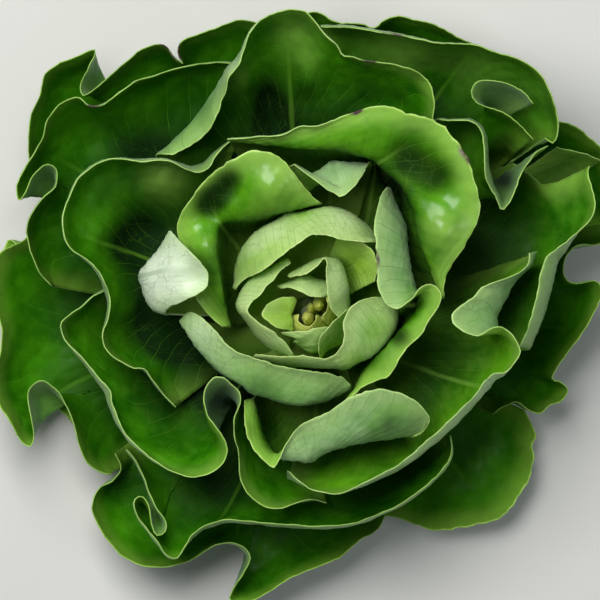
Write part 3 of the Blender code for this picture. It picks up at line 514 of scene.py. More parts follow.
def marks(leaf, grid, shares, edge):
    """How pale and how bruised a blade is at each point, with patches of painted highlight and
    painted shade laid in.
    """
    x, y = grid[..., 0], grid[..., 1]
    pale, bruise = leaf.get("pale", 0.0), np.zeros_like(edge)
    foot = np.clip(1 - shares[:, None] * FOOT_PALE_SHARE, 0, 1)
    pale = pale + (1 - pale) * FOOT_PALENESS * foot + np.zeros_like(edge)
    # Painted light: each patch carries the pale value towards 1, a painted highlight, or below 0
    # towards -1, which the skin turns into painted shade.
    for at_x, at_y, reach, amount in leaf.get("shades", ()):
        near = np.exp(-((x - at_x) ** 2 + (y - at_y) ** 2) / reach**2)
        pale += (np.sign(amount) - pale) * abs(amount) * near
    for at_x, at_y, reach in leaf.get("bruises", ()):
        off = np.hypot(x - at_x, y - at_y)
        bruise = np.maximum(bruise, np.exp(-(off / reach) ** 2) * np.exp(-edge / BRUISE_DEPTH))
    return pale, bruise


FEWEST_FINE, MOST_FINE, FEWEST_ROWS, MOST_ROWS, CROWDING = 24, 260, 26, 72, 1.3
EDGE_ROUND, EDGE_SHARE, FOOT_EXTRA = 1.6, 0.35, 0.35
RIB_RISE, RIB_HALF_TIP, RIB_HALF_GAIN = 1.0, 2.0, 2.5


def grow(skin, name, size, rim, heights, lean, **more):
    """A leaf, drawn by its free edge, grown on the stem and dressed in its skin.

    A rim is seen from above, in millimetres from the stem's axis, and runs
    anticlockwise.  Its heights, and its lean in degrees from the outward way, are
    spread evenly along it.  A leaf may also say:
    calm: width over which the waves of its edge are smoothed away lower down
    die, unfold: how fast those waves die out, or open, down the blade
    loose: share of the blade, from its foot, that bends clear of inner leaves
    shield: share of the rim's length that later leaves bend clear of
    foot_turn, foot_span: where its foot sits round the stem and reaches, in degrees
    rise: angle at which the blade leaves the stem
    fold, fold_heights: the line where the blade turns over on its way to the rim
    pale: how pale the whole blade is, 0 to 1
    shades: x, y, reach and amount of soft patches of painted highlight, or of painted shade below 0
    bruises: x, y and reach of brown patches on its rim
    """
    leaf = dict(rim=rim, heights=heights, lean=lean, **more)
    clear, cell, cells, depth, thick = size
    length = np.linalg.norm(np.diff(flow(rim, RIM_STEPS), axis=0), axis=1).sum()
    shift = settle(leaf, length, clear)
    columns = int(np.clip(length / cell, FEWEST_FINE, MOST_FINE)) // 2 * 2
    rows = int(np.clip(cells / columns, FEWEST_ROWS, MOST_ROWS))
    shares = 1 - (1 - np.linspace(0, 1, rows + 1)) ** CROWDING
    grid = swelled(blade(leaf, columns, shares) + finer(shift, shares, columns))
    grid, edge, rib, across, along = relief(grid, shares, len(grown), depth)
    taper = (1 - shares)[:, None] ** 0.8
    rounding = np.sqrt(np.clip(edge / EDGE_ROUND, 0, 1))
    half = thick * (EDGE_SHARE + (1 - EDGE_SHARE) * rounding) + FOOT_EXTRA * taper
    ribbed = half + RIB_RISE * taper * np.exp(-(rib / (RIB_HALF_TIP + RIB_HALF_GAIN * taper)) ** 2)
    normal = facing(grid)
    mesh = sheet(name, grid + normal * ribbed[..., None], grid - normal * half[..., None], skin)
    pale, bruise = marks(leaf, grid, shares, edge)
    for word, values in (("edge_mm", edge), ("rib_mm", rib), ("pale", pale), ("bruise", bruise)):
        layer = mesh.attributes.new(word, "FLOAT", "POINT")
        layer.data.foreach_set("value", np.tile(values.ravel(), 2).astype(np.float32))
    corners = np.zeros(len(mesh.loops), np.int32)
    mesh.loops.foreach_get("vertex_index", corners)
    grain = np.tile(np.column_stack([across.ravel(), along.ravel()]), (2, 1))[corners]
    mesh.uv_layers.new(name="grain").uv.foreach_set("vector", grain.astype(np.float32).ravel())
    piece = bpy.data.objects.new(name + "_skin", mesh)
    bpy.context.scene.collection.objects.link(piece)
    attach(piece, "root")
    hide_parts(name)


NET_CELL, NET_DRIFT = 10.0, 9.0
PAINTED_SHADE_GREEN, BROWN = (0.003, 0.022, 0.001), (0.10, 0.05, 0.06)


def leaf_side(name, upper, thin, colours, vein_share, rough, wet, bloom=0.0, painted_low_shade=0.0):
    """One face of a leaf's skin.

    Its colours are the blade's deep and light tones, mixed at random, its pale colour, the veins' and
    the rim's; the rim's colour is also painted light over the last 16 mm before the free edge.  Bloom
    is the powder of an underside, and the last argument how far painted shade, a black green, darkens
    the blade low in the head.
    """
    deep, light, pale, vein, rim = colours
    material, end, pen = new_material(name)
    place = pen.node("TexCoord", {}, {}, "Object")
    grain = pen.node("UVMap", {"uv_map": "grain"}, {})
    across = pen.node("SeparateXYZ", {}, {0: grain}, 0)
    along = pen.node("SeparateXYZ", {}, {0: grain}, 1)

    def read(word):
        return pen.node("Attribute", {"attribute_name": word}, {}, "Fac")

    def veins(spacing, slope, width):
        phase = along - pen.math("ABSOLUTE", across) ** 0.9 * slope
        phase = phase / spacing + pen.math("GREATER_THAN", across, 0.0) * 0.5
        off = pen.math("ABSOLUTE", pen.math("FRACT", phase) - 0.5) * 2
        return off.fit(1 - width, 1)

    edge, paleness_and_painted_light = read("edge_mm"), read("pale")
    patches, blotches = pen.lumps(place, 26.0, 3), pen.lumps(place, 7.0, 4)
    drift = pen.node("TexNoise", {}, {"Vector": place, "Scale": 1 / (NET_DRIFT * MM), "Detail": 2.0},
                     "Color")
    strayed = pen.node("VectorMath", {"operation": "MULTIPLY_ADD"},
                       {0: drift, 1: (NET_DRIFT * MM,) * 3, 2: place})
    net = pen.node("TexVoronoi", {"feature": "DISTANCE_TO_EDGE"},
                   {"Vector": strayed, "Scale": 1 / (NET_CELL * MM)}, "Distance")
    threads = net.fit(0.0, 0.028, 1, 0) * patches.fit(0.35, 0.6) * (0.25 if upper else 0.5)
    midrib = read("rib_mm").fit(0.4, 1.8, 1, 0) * along.fit(0.55, 0.95, 1, 0)
    side_veins = veins(SIDE_VEIN, SIDE_SLOPE, 0.06) * pen.lumps(place, 16.0, 2).fit(0.32, 0.56)
    cross_veins = veins(CROSS_VEIN, CROSS_SLOPE, 0.05) * blotches.fit(0.45, 0.6) * 0.5
    vein_lines = side_veins.larger(cross_veins).larger(midrib).larger(threads)

    shade = patches.fit(0.3, 0.7) * 0.7 + blotches.fit(0.3, 0.7) * 0.3
    colour = shade.tint(deep, light)
    # The blade's own pale parts, with the painted highlight patches among them.
    colour = (paleness_and_painted_light + (blotches - 0.5) * 0.2).tint(colour, pale)
    # Painted light: the blade made lighter, in the rim's colour, over the last 16 mm before its free
    # edge.
    colour = edge.fit(1.0, 16.0, 0.36, 0.0).tint(colour, rim)
    # Painted shade: a black green laid over the blade low in the head and under the darker painted
    # patches, where shade falls among the leaves; the same mask makes these parts rougher and takes
    # their coat away.
    painted_shade_low_down = along.fit(0.42, 0.93, painted_low_shade, 0.0) * (1 - paleness_and_painted_light)
    depth = painted_shade_low_down.larger((0 - paleness_and_painted_light).fit(0, 0.9, 0, 0.95))
    colour = depth.tint(colour, PAINTED_SHADE_GREEN)
    colour = (vein_lines * vein_share).tint(colour, vein)
    colour = (edge.fit(0.25, 1.0, 0.85, 0.0) * blotches.fit(0.3, 0.6, 0.35, 1)).tint(colour, rim)
    colour = (read("bruise").fit(0.1, 0.5) * blotches.fit(0.3, 0.55)).tint(colour, BROWN)
    height = vein_lines * 0.8 + pen.lumps(place, 0.9, 2) * 0.25 + blotches * 0.8
    bump = pen.node("Bump", {"invert": upper},
                    {"Strength": 0.6 if thin else 0.4, "Distance": 0.4 * MM, "Height": height})
    roughness = (blotches + vein_lines * 0.3).fit(0.2, 0.9, rough, rough + 0.2) + depth * 0.4
    skin = pen.node("BsdfPrincipled", {},
                    {"Base Color": colour, "Normal": bump, "Roughness": roughness,
                     "Specular IOR Level": 0.12 if upper else 0.3,
                     "Coat Weight": (0.9 - depth * 1.4).fit(0, 1, 0, wet), "Coat Roughness": 0.24,
                     "Sheen Weight": bloom, "Sheen Roughness": 0.5, "Sheen Tint": (0.75, 0.9, 1.0)})
    glow = pen.node("BsdfTranslucent", {}, {"Color": (vein_lines * 0.3).tint(colour, deep),
                                            "Normal": bump})
    through = 0.36 if thin else 0.22
    pen.join(end.inputs["Surface"], pen.node("MixShader", {}, {0: through, 1: skin, 2: glow}))
    return material


def leaf_skin(name, slot, thin, under, upper):
    """Underside and upper side materials of a kind of leaf, and its slot in the record."""
    return (leaf_side(name + " under", False, thin, **under),
            leaf_side(name + " upper", True, thin, **upper), slot)


# Sizes of leaf, in millimetres: gap to other leaves, cell along the rim and number of
# cells, depth of the relief, and half the thickness of the blade
SMALL = (1.7, 0.9, 2200, 0.8, 0.3)
MIDDLE = (2.6, 1.4, 4200, 0.75, 0.34)
LARGE = (2.6, 2.1, 7400, 0.9, 0.38)
BUD_SKIN = leaf_skin(
    "bud", "heart_leaf", True,
    dict(colours=((0.56, 0.60, 0.06), (0.78, 0.80, 0.12), (0.88, 0.90, 0.20), (0.36, 0.44, 0.06),
                  (0.78, 0.86, 0.32)), vein_share=0.25, rough=0.35, wet=0.3, bloom=0.05),
    dict(colours=((0.40, 0.50, 0.04), (0.62, 0.68, 0.10), (0.72, 0.78, 0.20), (0.6, 0.68, 0.2),
                  (0.78, 0.88, 0.32)), vein_share=0.3, rough=0.3, wet=0.4))
HEART_SKIN = leaf_skin(
    "heart leaf", "heart_leaf", True,
    dict(colours=((0.20, 0.47, 0.04), (0.40, 0.67, 0.14), (0.74, 0.87, 0.52), (0.12, 0.30, 0.04),
                  (0.76, 0.92, 0.38)), vein_share=0.5, rough=0.3, wet=0.3, bloom=0.03),
    dict(colours=((0.27, 0.62, 0.02), (0.46, 0.78, 0.06), (0.64, 0.84, 0.20), (0.56, 0.80, 0.20),
                  (0.74, 0.92, 0.32)), vein_share=0.4, rough=0.24, wet=0.7))
grow(BUD_SKIN, "leaf_heart_bud", SMALL,
     [(-4.5, -1), (-4.3, -4), (-2, -6.2), (1.2, -6.4), (3.4, -4.2), (3.8, -1.2)],
     [88, 92, 93, 92, 88], [125], calm=5, foot_turn=262, foot_span=104, rise=56, pale=0.3)
grow(BUD_SKIN, "leaf_heart_bud_east", SMALL,
     [(4.5, -3), (7, -1), (9, 2.5), (8.6, 6.5), (5.6, 8.6), (2.2, 7.4)],
     [88, 92, 94, 92, 88], [130], calm=6, foot_turn=25, foot_span=84, rise=56, pale=0.4)
grow(HEART_SKIN, "leaf_heart_west", SMALL,
     [(-6.4, 7), (-12, 6.6), (-18, 4.4), (-21, -0.6), (-17.4, -5.4), (-12, -7.8), (-7.4, -8.6)],
     [88, 94, 96, 96, 94, 88], [30], calm=9, foot_turn=180, foot_span=80, rise=56,
     fold=[(-5.6, 6), (-5.8, 3), (-5.8, -3), (-6, -7)], fold_heights=[84, 88, 88, 84],
     pale=0.2, shades=[(-14, 0, 9, -0.4)])
grow(HEART_SKIN, "leaf_heart_north", SMALL,
     [(10.5, 8.5), (6, 7), (1, 7.1), (-3.5, 9.3), (-8.4, 10.8), (-13, 11)],
     [92, 99, 101, 99, 92], [150], calm=8, foot_turn=88, foot_span=80, rise=54,
     fold=[(11, 13), (4, 15.4), (-4, 14.6), (-9, 13.6), (-14, 11.6)], fold_heights=[82, 88, 88, 84],
     pale=0.5)
grow(HEART_SKIN, "leaf_heart_south", SMALL,
     [(-5.4, -11.4), (-2.2, -9.2), (2, -7.6), (6, -7), (10.5, -6.6)],
     [94, 99, 99, 95], [150], calm=8, foot_turn=275, foot_span=80, rise=54,
     fold=[(-6.6, -13), (-4, -16.4), (1, -18.4), (7, -16.4), (12, -9.6)], fold_heights=[82, 86, 84],
     pale=0.3)
grow(HEART_SKIN, "leaf_heart_north_east", SMALL,
     [(14, -2.5), (11, 1), (9.6, 6), (9, 12), (8.2, 18), (8.6, 22.8), (7.2, 24.6), (5, 22),
      (1, 18.8), (-4, 16.8), (-9, 16)],
     [95, 102, 103, 104, 102, 92], [135], calm=9, foot_turn=36, foot_span=60,
     rise=40, fold=[(19, -1), (19, 8), (18.5, 15), (15, 22), (8, 25.4), (0, 22.6), (-8, 17.4)],
     fold_heights=[84, 90, 92, 90, 84], pale=0.5, shades=[(11, 18, 4, 0.4), (16, 8, 4, 0.3)])
grow(HEART_SKIN, "leaf_heart_green", SMALL,
     [(31, 14), (32, 22), (29, 29), (22, 33), (14, 36)],
     [90, 98, 99, 92], [50], calm=12, foot_turn=45, foot_span=50, rise=42, pale=0.1)
grow(HEART_SKIN, "leaf_heart_loop", MIDDLE,
     [(-8, 22.6), (-12, 19.5), (-17, 13.6), (-21.5, 8.6), (-26, 4.2), (-28, 0.5), (-25.5, -2.5),
      (-20, -6.8), (-14, -10.8), (-10, -15), (-6.5, -19)],
     [95, 103, 105, 105, 104, 96], [140], calm=10, foot_turn=180, foot_span=104,
     rise=50, fold=[(-10, 24), (-19, 18.6), (-27, 15.6), (-32, 9), (-31.5, 1), (-28, -4),
                    (-24.5, -10), (-19, -17), (-9, -20)],
     fold_heights=[84, 92, 93, 92, 84], pale=0.35, shades=[(-28, 4, 5, 0.4), (-20, -14, 5, 0.3)])
grow(HEART_SKIN, "leaf_heart_strip", SMALL,
     [(4.8, -18.5), (5, -13), (8, -8.4), (13, -3.4), (17.6, 1.2)],
     [97, 104, 105, 100], [110], calm=8, foot_turn=320, foot_span=64, rise=50, pale=0.3)
grow(HEART_SKIN, "leaf_heart_funnel", MIDDLE,
     [(-24, -19.2), (-18, -19.9), (-11, -20.3), (-4, -20), (2, -20.8), (7.5, -21.6), (12.4, -19.6),
      (15.8, -15), (16.6, -10.5), (16.2, -5), (18, 0), (22, 4.2), (28, 6.4), (35, 6.6)],
     [94, 104, 106, 107, 108, 107, 98], [135], calm=13, foot_turn=300, foot_span=104,
     rise=48, fold=[(-24, -21), (-14, -24), (0, -25), (14, -25), (27, -22), (37, -14), (42, -5),
                    (41, 3)],
     fold_heights=[84, 92, 94, 92, 84],
     pale=0.3, shades=[(30, -8, 7, -0.25), (20, -24, 6, -0.3), (-8, -24, 6, -0.2)])
grow(HEART_SKIN, "leaf_heart_crown", MIDDLE,
     [(31, 31.6), (26, 30.6), (20.5, 31.2), (15, 32.8), (10, 34.4), (5, 35.4), (1.5, 35.2),
      (-3, 32.4), (-8, 28.8), (-13, 25), (-19, 20.2), (-24.5, 16.8), (-29.4, 14), (-32.4, 10)],
     [94, 106, 109, 109, 105, 90], [145], calm=16, foot_turn=90, foot_span=96,
     rise=40, fold=[(32, 34), (26, 41), (18, 47), (8, 48.5), (-3, 45), (-14, 42), (-24, 37.5),
                    (-30.6, 29), (-34, 20), (-33.4, 11)],
     fold_heights=[84, 94, 96, 90, 76],
     pale=0.3,
     shades=[(17, 45, 9, 0.55), (-20, 38, 8, 0.4), (-3, 46, 4, -0.35), (-15, 34, 4, 0.5),
             (-23, 29, 4, 0.5), (-13, 29.5, 5, -0.25), (-17, 26.5, 5, -0.25), (-21, 23, 5, -0.25),
             (-25, 19.5, 5, -0.25), (-29, 16, 5, -0.25)])


# The growing tip: three tiny unopened leaves, yellow and still closed, that stand on
# the stem's top inside the two bud leaves and fill their hollow.
TIP_SIDES, TIP_RINGS, TIP_FOOT = 20, 14, 64.2
TIP_MARKS = (("edge_mm", 9.0), ("rib_mm", 9.0), ("pale", 0.9), ("bruise", 0.0))


def growing_tip(number, x, y, turn, height, radius):
    """A closed leaf with one deep cleft, that bows over as it rises."""
    points = []
    for ring in range(TIP_RINGS + 1):
        v = ring / TIP_RINGS
        swell = 0.35 + 0.65 * math.sin(math.pi * min(1, v * 0.9 + 0.1)) ** 0.6
        swell = radius * swell * (1 - v**6 * 0.9)
        bow = 1.1 * v**2
        for k in range(TIP_SIDES):
            a = 2 * math.pi * k / TIP_SIDES
            lobe = swell * (1 - 0.30 * math.exp(-((a - math.pi) / 0.35) ** 2) * v)
            lobe *= 1 + 0.05 * math.sin(5 * a + number)
            points.append((x + lobe * math.cos(a + turn) * 0.85 - bow * math.cos(turn),
                           y + lobe * math.sin(a + turn) - bow * math.sin(turn),
                           TIP_FOOT + (height - TIP_FOOT) * v**0.9))
    faces = [(r * TIP_SIDES + k, r * TIP_SIDES + (k + 1) % TIP_SIDES,
              (r + 1) * TIP_SIDES + (k + 1) % TIP_SIDES, (r + 1) * TIP_SIDES + k)
             for r in range(TIP_RINGS) for k in range(TIP_SIDES)]
    faces += [tuple(range(TIP_SIDES))[::-1],
              tuple(range(TIP_RINGS * TIP_SIDES, (TIP_RINGS + 1) * TIP_SIDES))]
    mesh = bpy.data.meshes.new(f"growing_tip_{number + 1}")
    mesh.from_pydata([tuple(c * MM for c in p) for p in points], [], faces)
    mesh.materials.append(BUD_SKIN[0])
    mesh.shade_smooth()
    for word, value in TIP_MARKS:
        layer = mesh.attributes.new(word, "FLOAT", "POINT")
        layer.data.foreach_set("value", np.full(len(points), value, np.float32))
    mesh.uv_layers.new(name="grain")
    tip = bpy.data.objects.new(f"growing_tip_{number + 1}", mesh)
    bpy.context.scene.collection.objects.link(tip)
    rounded = tip.modifiers.new("rounded", "SUBSURF")
    rounded.levels = rounded.render_levels = 1
    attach(tip, "root")


growing_tip(0, 0.1, -3.0, 0.4, 95.0, 3.5)
growing_tip(1, 4.6, 3.6, 2.4, 95.5, 3.2)
growing_tip(2, 1.4, 1.6, 4.4, 90.0, 2.6)


# The ring round the heart: bright, glossy leaves that roll back over themselves, so
# that their matt grey-green undersides and pale wet rims show from above.
RING_SKIN = leaf_skin(
    "ring leaf", "inner_leaf", False,
    dict(colours=((0.13, 0.35, 0.055), (0.29, 0.53, 0.16), (0.78, 0.90, 0.70), (0.05, 0.16, 0.03),
                  (0.58, 0.82, 0.27)), vein_share=0.6, rough=0.4, wet=0.3, bloom=0.1),
    dict(colours=((0.035, 0.22, 0.001), (0.145, 0.46, 0.006), (0.42, 0.68, 0.12),
                  (0.32, 0.60, 0.09), (0.56, 0.82, 0.18)),
         vein_share=0.3, rough=0.28, wet=0.7, painted_low_shade=0.85))
grow(RING_SKIN, "leaf_inner_north_west", LARGE,
     [(6.4, 48), (3, 51.6), (-0.6, 56), (-5, 61.6), (-9.4, 67), (-14.4, 71.4), (-20, 73.8),
      (-26, 74), (-31, 71.6), (-36.4, 68.8), (-42, 65), (-47, 60), (-51.6, 54.4), (-56, 48.4),
      (-59.6, 43), (-60.6, 38), (-58.6, 32), (-56, 24), (-54.6, 14), (-51.4, 5.4), (-46, -1),
      (-39.4, -7)],
     [98, 112, 117, 117, 114, 103, 92, 88, 84], [30, 25, 20, 25, 50, 60, 60],
     calm=20, foot_turn=150, foot_span=84, rise=40,
     fold=[(6.4, 46.8), (0, 46.2), (-8, 46), (-17, 45), (-26, 42), (-34, 41.8), (-39.6, 42),
           (-42, 34), (-42, 25), (-40.4, 16), (-39, 8), (-37.6, 0), (-36, -7)],
     fold_heights=[94, 102, 102, 101, 98, 92, 80],
     pale=0.1, shades=[(-46, 49, 8, -0.9), (-41, 54, 7, -0.9), (-36, 60, 8, -0.8),
                       (-15, 58, 11, 0.3), (-48, 30, 7, 0.1)])
grow(RING_SKIN, "leaf_inner_north_pale", MIDDLE,
     [(27.5, 68), (24.5, 62), (19.5, 56), (14, 51.4), (9, 49.6), (3, 51.4), (-5, 55)],
     [96, 107, 109, 104, 92, 84], [150], calm=18, foot_turn=72, foot_span=60, rise=44,
     fold=[(29.4, 67.6), (24, 69.4), (14, 68.4), (4, 65), (-5, 60)], fold_heights=[86, 92, 92, 86],
     pale=0.2)
grow(RING_SKIN, "leaf_inner_south_west", MIDDLE,
     [(-54, 0), (-49.5, -2), (-45.5, -5.6), (-42, -9), (-39, -12.6), (-36, -15.8),
      (-31.5, -18.8), (-26, -20.6), (-18, -23.2), (-8, -25.9), (2, -27.1), (10, -28.4),
      (15.4, -30), (19.4, -33.6)],
     [88, 103, 106, 107, 102, 88], [130], calm=20, foot_turn=245, foot_span=84,
     rise=44, fold=[(-59, -4), (-54, -12), (-48.6, -20), (-40, -27.8), (-27, -34.8), (-12, -42),
                    (2, -43), (12, -40), (19, -35.4)],
     fold_heights=[82, 90, 92, 90, 82],
     pale=0.15, shades=[(-47, -6, 8, 0.5), (-21, -34, 12, -0.45), (6, -34, 12, -0.15)])
grow(RING_SKIN, "leaf_inner_east", LARGE,
     [(17.5, -41), (21.5, -37.6), (26.5, -33.8), (32, -31.2), (37, -29.8), (39.6, -27),
      (41.4, -23), (44.5, -18), (48.5, -13.6), (52.5, -9.4), (54.8, -5), (57.2, -1), (60, 3),
      (60.8, 7), (59.4, 11), (56, 12.8), (52, 11), (47.5, 7), (43.4, 2.8), (40, 1.4), (36.4, 3.6),
      (33.6, 8), (32.1, 13), (31.6, 20), (31.2, 28), (30.9, 35), (30.6, 41), (31.6, 47.5),
      (33.2, 53), (35.6, 56.4)],
     [88, 98, 102, 104, 106, 109, 110, 107, 92], [50, 45, 60, 130, 150, 150, 140],
     calm=17, foot_turn=5, foot_span=84, rise=40,
     fold=[(21, -37), (25.5, -28), (30, -20.5), (34.5, -15), (40, -10), (46.5, -5), (50.5, 2),
           (49.5, 10), (47.5, 18), (46, 28), (45.5, 38), (43, 46), (39.6, 52)],
     fold_heights=[84, 90, 92, 92, 92, 92, 88, 76],
     pale=0.12, bruises=[(31.4, 24, 4)],
     shades=[(42, -11, 7, -0.8), (50, 4, 5, -0.8), (32, -22, 4, -0.4)])
grow(RING_SKIN, "leaf_inner_south", LARGE,
     [(-29.5, -41), (-29.2, -48), (-28.4, -55), (-26, -61.5), (-22, -66.4), (-18.6, -70),
      (-16, -72), (-14, -69.6), (-12, -64.4), (-8.4, -57.8), (-4, -52.6), (2, -48.6), (10, -45),
      (18, -40.4), (24, -37), (31, -35.6), (38, -36.2), (46, -39), (52.5, -43.6), (55.8, -49),
      (53.4, -54), (48, -57)],
     [84, 96, 98, 98, 104, 107, 106, 102, 92], [60, 60, 100, 150, 150, 150, 130],
     calm=20, foot_turn=285, foot_span=80, rise=44,
     fold=[(-25.5, -40), (-23.5, -48), (-20.5, -57), (-16, -66), (-9, -69.4), (2, -67), (14, -62.6),
           (26, -59.6), (37, -58.6), (45, -56.6)],
     fold_heights=[80, 86, 88, 88, 90, 88, 82],
     pale=0.12, shades=[(-27, -54, 9, -0.45), (37, -51, 6, -0.5), (52, -52, 10, -0.35)])
grow(RING_SKIN, "leaf_inner_west_pale", MIDDLE,
     [(-62.6, 37), (-58.6, 32.4), (-53.6, 27.4), (-49.4, 22.8), (-46.4, 18), (-46, 13), (-48.6, 9.6),
      (-54, 6.6), (-60, 3.4)],
     [98, 109, 112, 110, 100], [150], calm=14, foot_turn=168, foot_span=44, rise=40, loose=0.7,
     fold=[(-64, 36), (-67, 29), (-74, 24), (-77.4, 15), (-75.4, 6), (-71, -1), (-66, -1)],
     fold_heights=[92, 94, 90, 86, 88], pale=0.95)
grow(RING_SKIN, "leaf_inner_north_east", LARGE,
     [(62.5, 6), (62.4, 13), (65, 20), (69.4, 27), (74.6, 35), (77.6, 41), (78.8, 48), (78, 54),
      (75.8, 61.6), (72.6, 70), (68, 78), (62, 85), (55, 88.6), (47, 90.4), (39, 93.4),
      (31, 94), (23, 91.8), (14, 89), (5, 85.4), (-4, 84.6), (-12, 81), (-22, 80.2), (-30, 79.6),
      (-37, 79)],
     [94, 104, 110, 114, 117, 118, 118, 116, 106], [10, 0, 10, 20, 40, 90, 100],
     calm=24, foot_turn=62, foot_span=80, rise=42,
     fold=[(60.5, 8), (58.4, 16), (55, 24.5), (51.6, 32), (49, 41), (47.6, 51), (43, 57.6),
           (35, 63), (28, 69), (20, 73.4), (8, 75), (-6, 75.2), (-20, 77.4), (-36, 78.4)],
     fold_heights=[90, 100, 104, 104, 106, 106, 98],
     pale=0.04, bruises=[(22, 91.4, 3), (71.5, 72, 5)],
     shades=[(46, 69, 13, -0.9), (59, 62, 10, -0.8), (62, 38, 9, 0.5)])
grow(RING_SKIN, "leaf_inner_south_east", LARGE,
     [(-9.4, -72.6), (-6.6, -75.6), (-2.6, -79.2), (2, -82), (8, -83.2), (15, -83.2), (22, -80.4),
      (29, -76.8), (37, -72.8), (45, -67.6), (53, -60.8), (61, -53.6), (69, -46), (75.6, -39),
      (81, -32), (85, -28.2), (89.6, -28), (94, -24), (97.4, -18.6), (95.6, -13), (91.4, -8),
      (86.4, -6.6), (81.6, -9), (76.4, -11), (71.4, -9.2), (67, -6), (65, -2.6), (67.4, 0.8),
      (72, 4.4), (76, 7), (79, 11), (84.6, 13.4), (91, 15.6), (97.6, 18.4), (101, 21.6),
      (101.4, 27)],
     [82, 90, 92, 92, 94, 98, 102, 106, 108, 104, 92], [125, 125, 125, 120, 125, 145, 120],
     calm=30, die=5.0, foot_turn=322, foot_span=84, rise=34, loose=0.8, pale=0.05)


# Hooded leaves that cup round the ring: full green, with deep folds and rims that
# stand up and out.
HOOD_SKIN = leaf_skin(
    "hood leaf", "outer_leaf", False,
    dict(colours=((0.10, 0.28, 0.035), (0.22, 0.46, 0.11), (0.50, 0.68, 0.32), (0.05, 0.16, 0.03),
                  (0.52, 0.78, 0.22)), vein_share=0.4, rough=0.45, wet=0.3, bloom=0.1),
    dict(colours=((0.018, 0.155, 0.001), (0.085, 0.38, 0.004), (0.34, 0.60, 0.10),
                  (0.18, 0.46, 0.03), (0.50, 0.78, 0.14)),
         vein_share=0.3, rough=0.24, wet=0.4, painted_low_shade=0.92))
grow(HOOD_SKIN, "leaf_mid_west", LARGE,
     [(-35, 70), (-38, 74), (-42, 72), (-46, 66), (-51, 64.2), (-56, 65.6), (-61, 68.2),
      (-68, 69.4), (-77, 69), (-86, 70.4), (-95, 69), (-101, 65.2), (-106, 60), (-109.6, 52),
      (-112.4, 44), (-111.8, 35), (-108.4, 28.6), (-102, 24.6), (-97.6, 20.4), (-93, 13),
      (-90.8, 5), (-92.4, -4), (-94.6, -11), (-92.4, -17.6), (-87, -22.4), (-81, -25.6),
      (-75, -26.4), (-71.4, -31.6), (-67.6, -36.6), (-61, -44)],
     [84, 94, 98, 100, 98, 94, 88, 84, 78], [110, 110, 105, 100, 100, 100],
     calm=26, foot_turn=168, foot_span=84, rise=36,
     shades=[(-65, 63, 11, 0.9), (-81, 33, 11, -0.8), (-72, -6, 18, -1.0), (-90, 28, 8, -0.15)])
grow(HOOD_SKIN, "leaf_mid_south_west", LARGE,
     [(-91, 11), (-94.6, 9.4), (-99, 7.4), (-104, 2.6), (-110, -1.4), (-113.8, -5), (-112.4, -12),
      (-108, -17), (-102, -23), (-96, -30.6), (-91, -37), (-89.8, -43), (-86.8, -51.4),
      (-80.6, -60), (-73, -66.6), (-66, -71.6), (-58, -75), (-51, -76), (-44, -73.8),
      (-39, -69.4), (-36.9, -64), (-38.6, -58), (-43, -52), (-46.6, -45.6), (-47.8, -38),
      (-45.6, -32), (-41.4, -28.6), (-36.6, -28.2), (-32.6, -31.4), (-30.4, -36.4), (-30.6, -42),
      (-33.4, -49), (-34, -56), (-32.4, -62.6), (-31.8, -70), (-31, -77.6), (-27.4, -84.4),
      (-20.6, -89.6), (-13, -90.6), (-5, -88), (2, -86.4), (8.6, -88)],
     [70, 80, 82, 82, 80, 84, 92, 94, 90, 80, 74, 66], [110, 115, 115, 105, 100, 100, 100],
     calm=40, foot_turn=222, foot_span=84, rise=30, die=1.9, shades=[(-40, -40, 9, -0.75)])
grow(HOOD_SKIN, "leaf_mid_north", LARGE,
     [(57.4, 88), (58, 96), (56.4, 103.4), (52, 109), (45, 112), (36, 114), (27, 115),
      (20, 116.6), (15.6, 117.4), (13.4, 121.6), (8, 126.4), (3, 133), (-1.6, 137.4),
      (-8, 138), (-16, 136), (-22.6, 132.6), (-27, 127), (-29.2, 120), (-31.4, 113),
      (-36, 107.6), (-38, 100), (-41.4, 91.4), (-46, 83), (-53, 77), (-60, 72), (-66, 67)],
     [96, 108, 114, 120, 124, 122, 112, 100, 88], [70, 80, 90, 95, 110, 130, 130],
     calm=26, foot_turn=98, foot_span=80, rise=36,
     bruises=[(28, 115, 3)],
     shades=[(-21, 106, 6, -0.5), (-19, 99, 7, -0.65), (-16, 90, 8, -0.7), (-31, 107, 8, 0.3),
             (-6, 129, 10, 0.5), (0, 117, 6, 0.35), (26, 101, 12, -0.6), (42, 100, 9, -0.4)])
grow(HOOD_SKIN, "leaf_mid_north_east", LARGE,
     [(110.6, 76.4), (105.4, 74), (102, 69.4), (98, 64), (95.4, 56.4), (91.8, 49.6), (89, 46.6),
      (86.4, 52), (82.8, 58), (80.8, 66), (80.8, 75), (79.4, 83), (75, 87.4), (68, 87.6),
      (61, 86), (55, 82)],
     [76, 84, 88, 92, 98, 98, 98, 98, 84], [85, 90, 95, 105, 118, 115, 100], calm=30,
     foot_turn=60, foot_span=50, rise=34, pale=0.12, shades=[(91, 61, 6, -0.9), (91, 79, 8, -0.5)])
grow(HOOD_SKIN, "leaf_mid_east", LARGE,
     [(97.4, -16), (100.6, -8.4), (103, -0.6), (105, 8), (107, 18), (109.6, 25), (114, 28.8),
      (120, 33.4), (126, 38.6), (130.6, 44), (132.2, 50), (130.6, 57), (128.8, 63), (129.4, 67)],
     [76, 88, 92, 92, 90, 88, 84], [125, 128, 120, 95, 70], calm=26, foot_turn=-4,
     foot_span=52, rise=32, loose=0.7, pale=0.05)
grow(HOOD_SKIN, "leaf_mid_east_back", MIDDLE,
     [(136.4, 70), (129, 73.2), (122, 74.6), (115, 76)],
     [40, 50, 56, 54], [80], calm=30, die=2.2, foot_turn=26, foot_span=12, rise=6, pale=0.3)


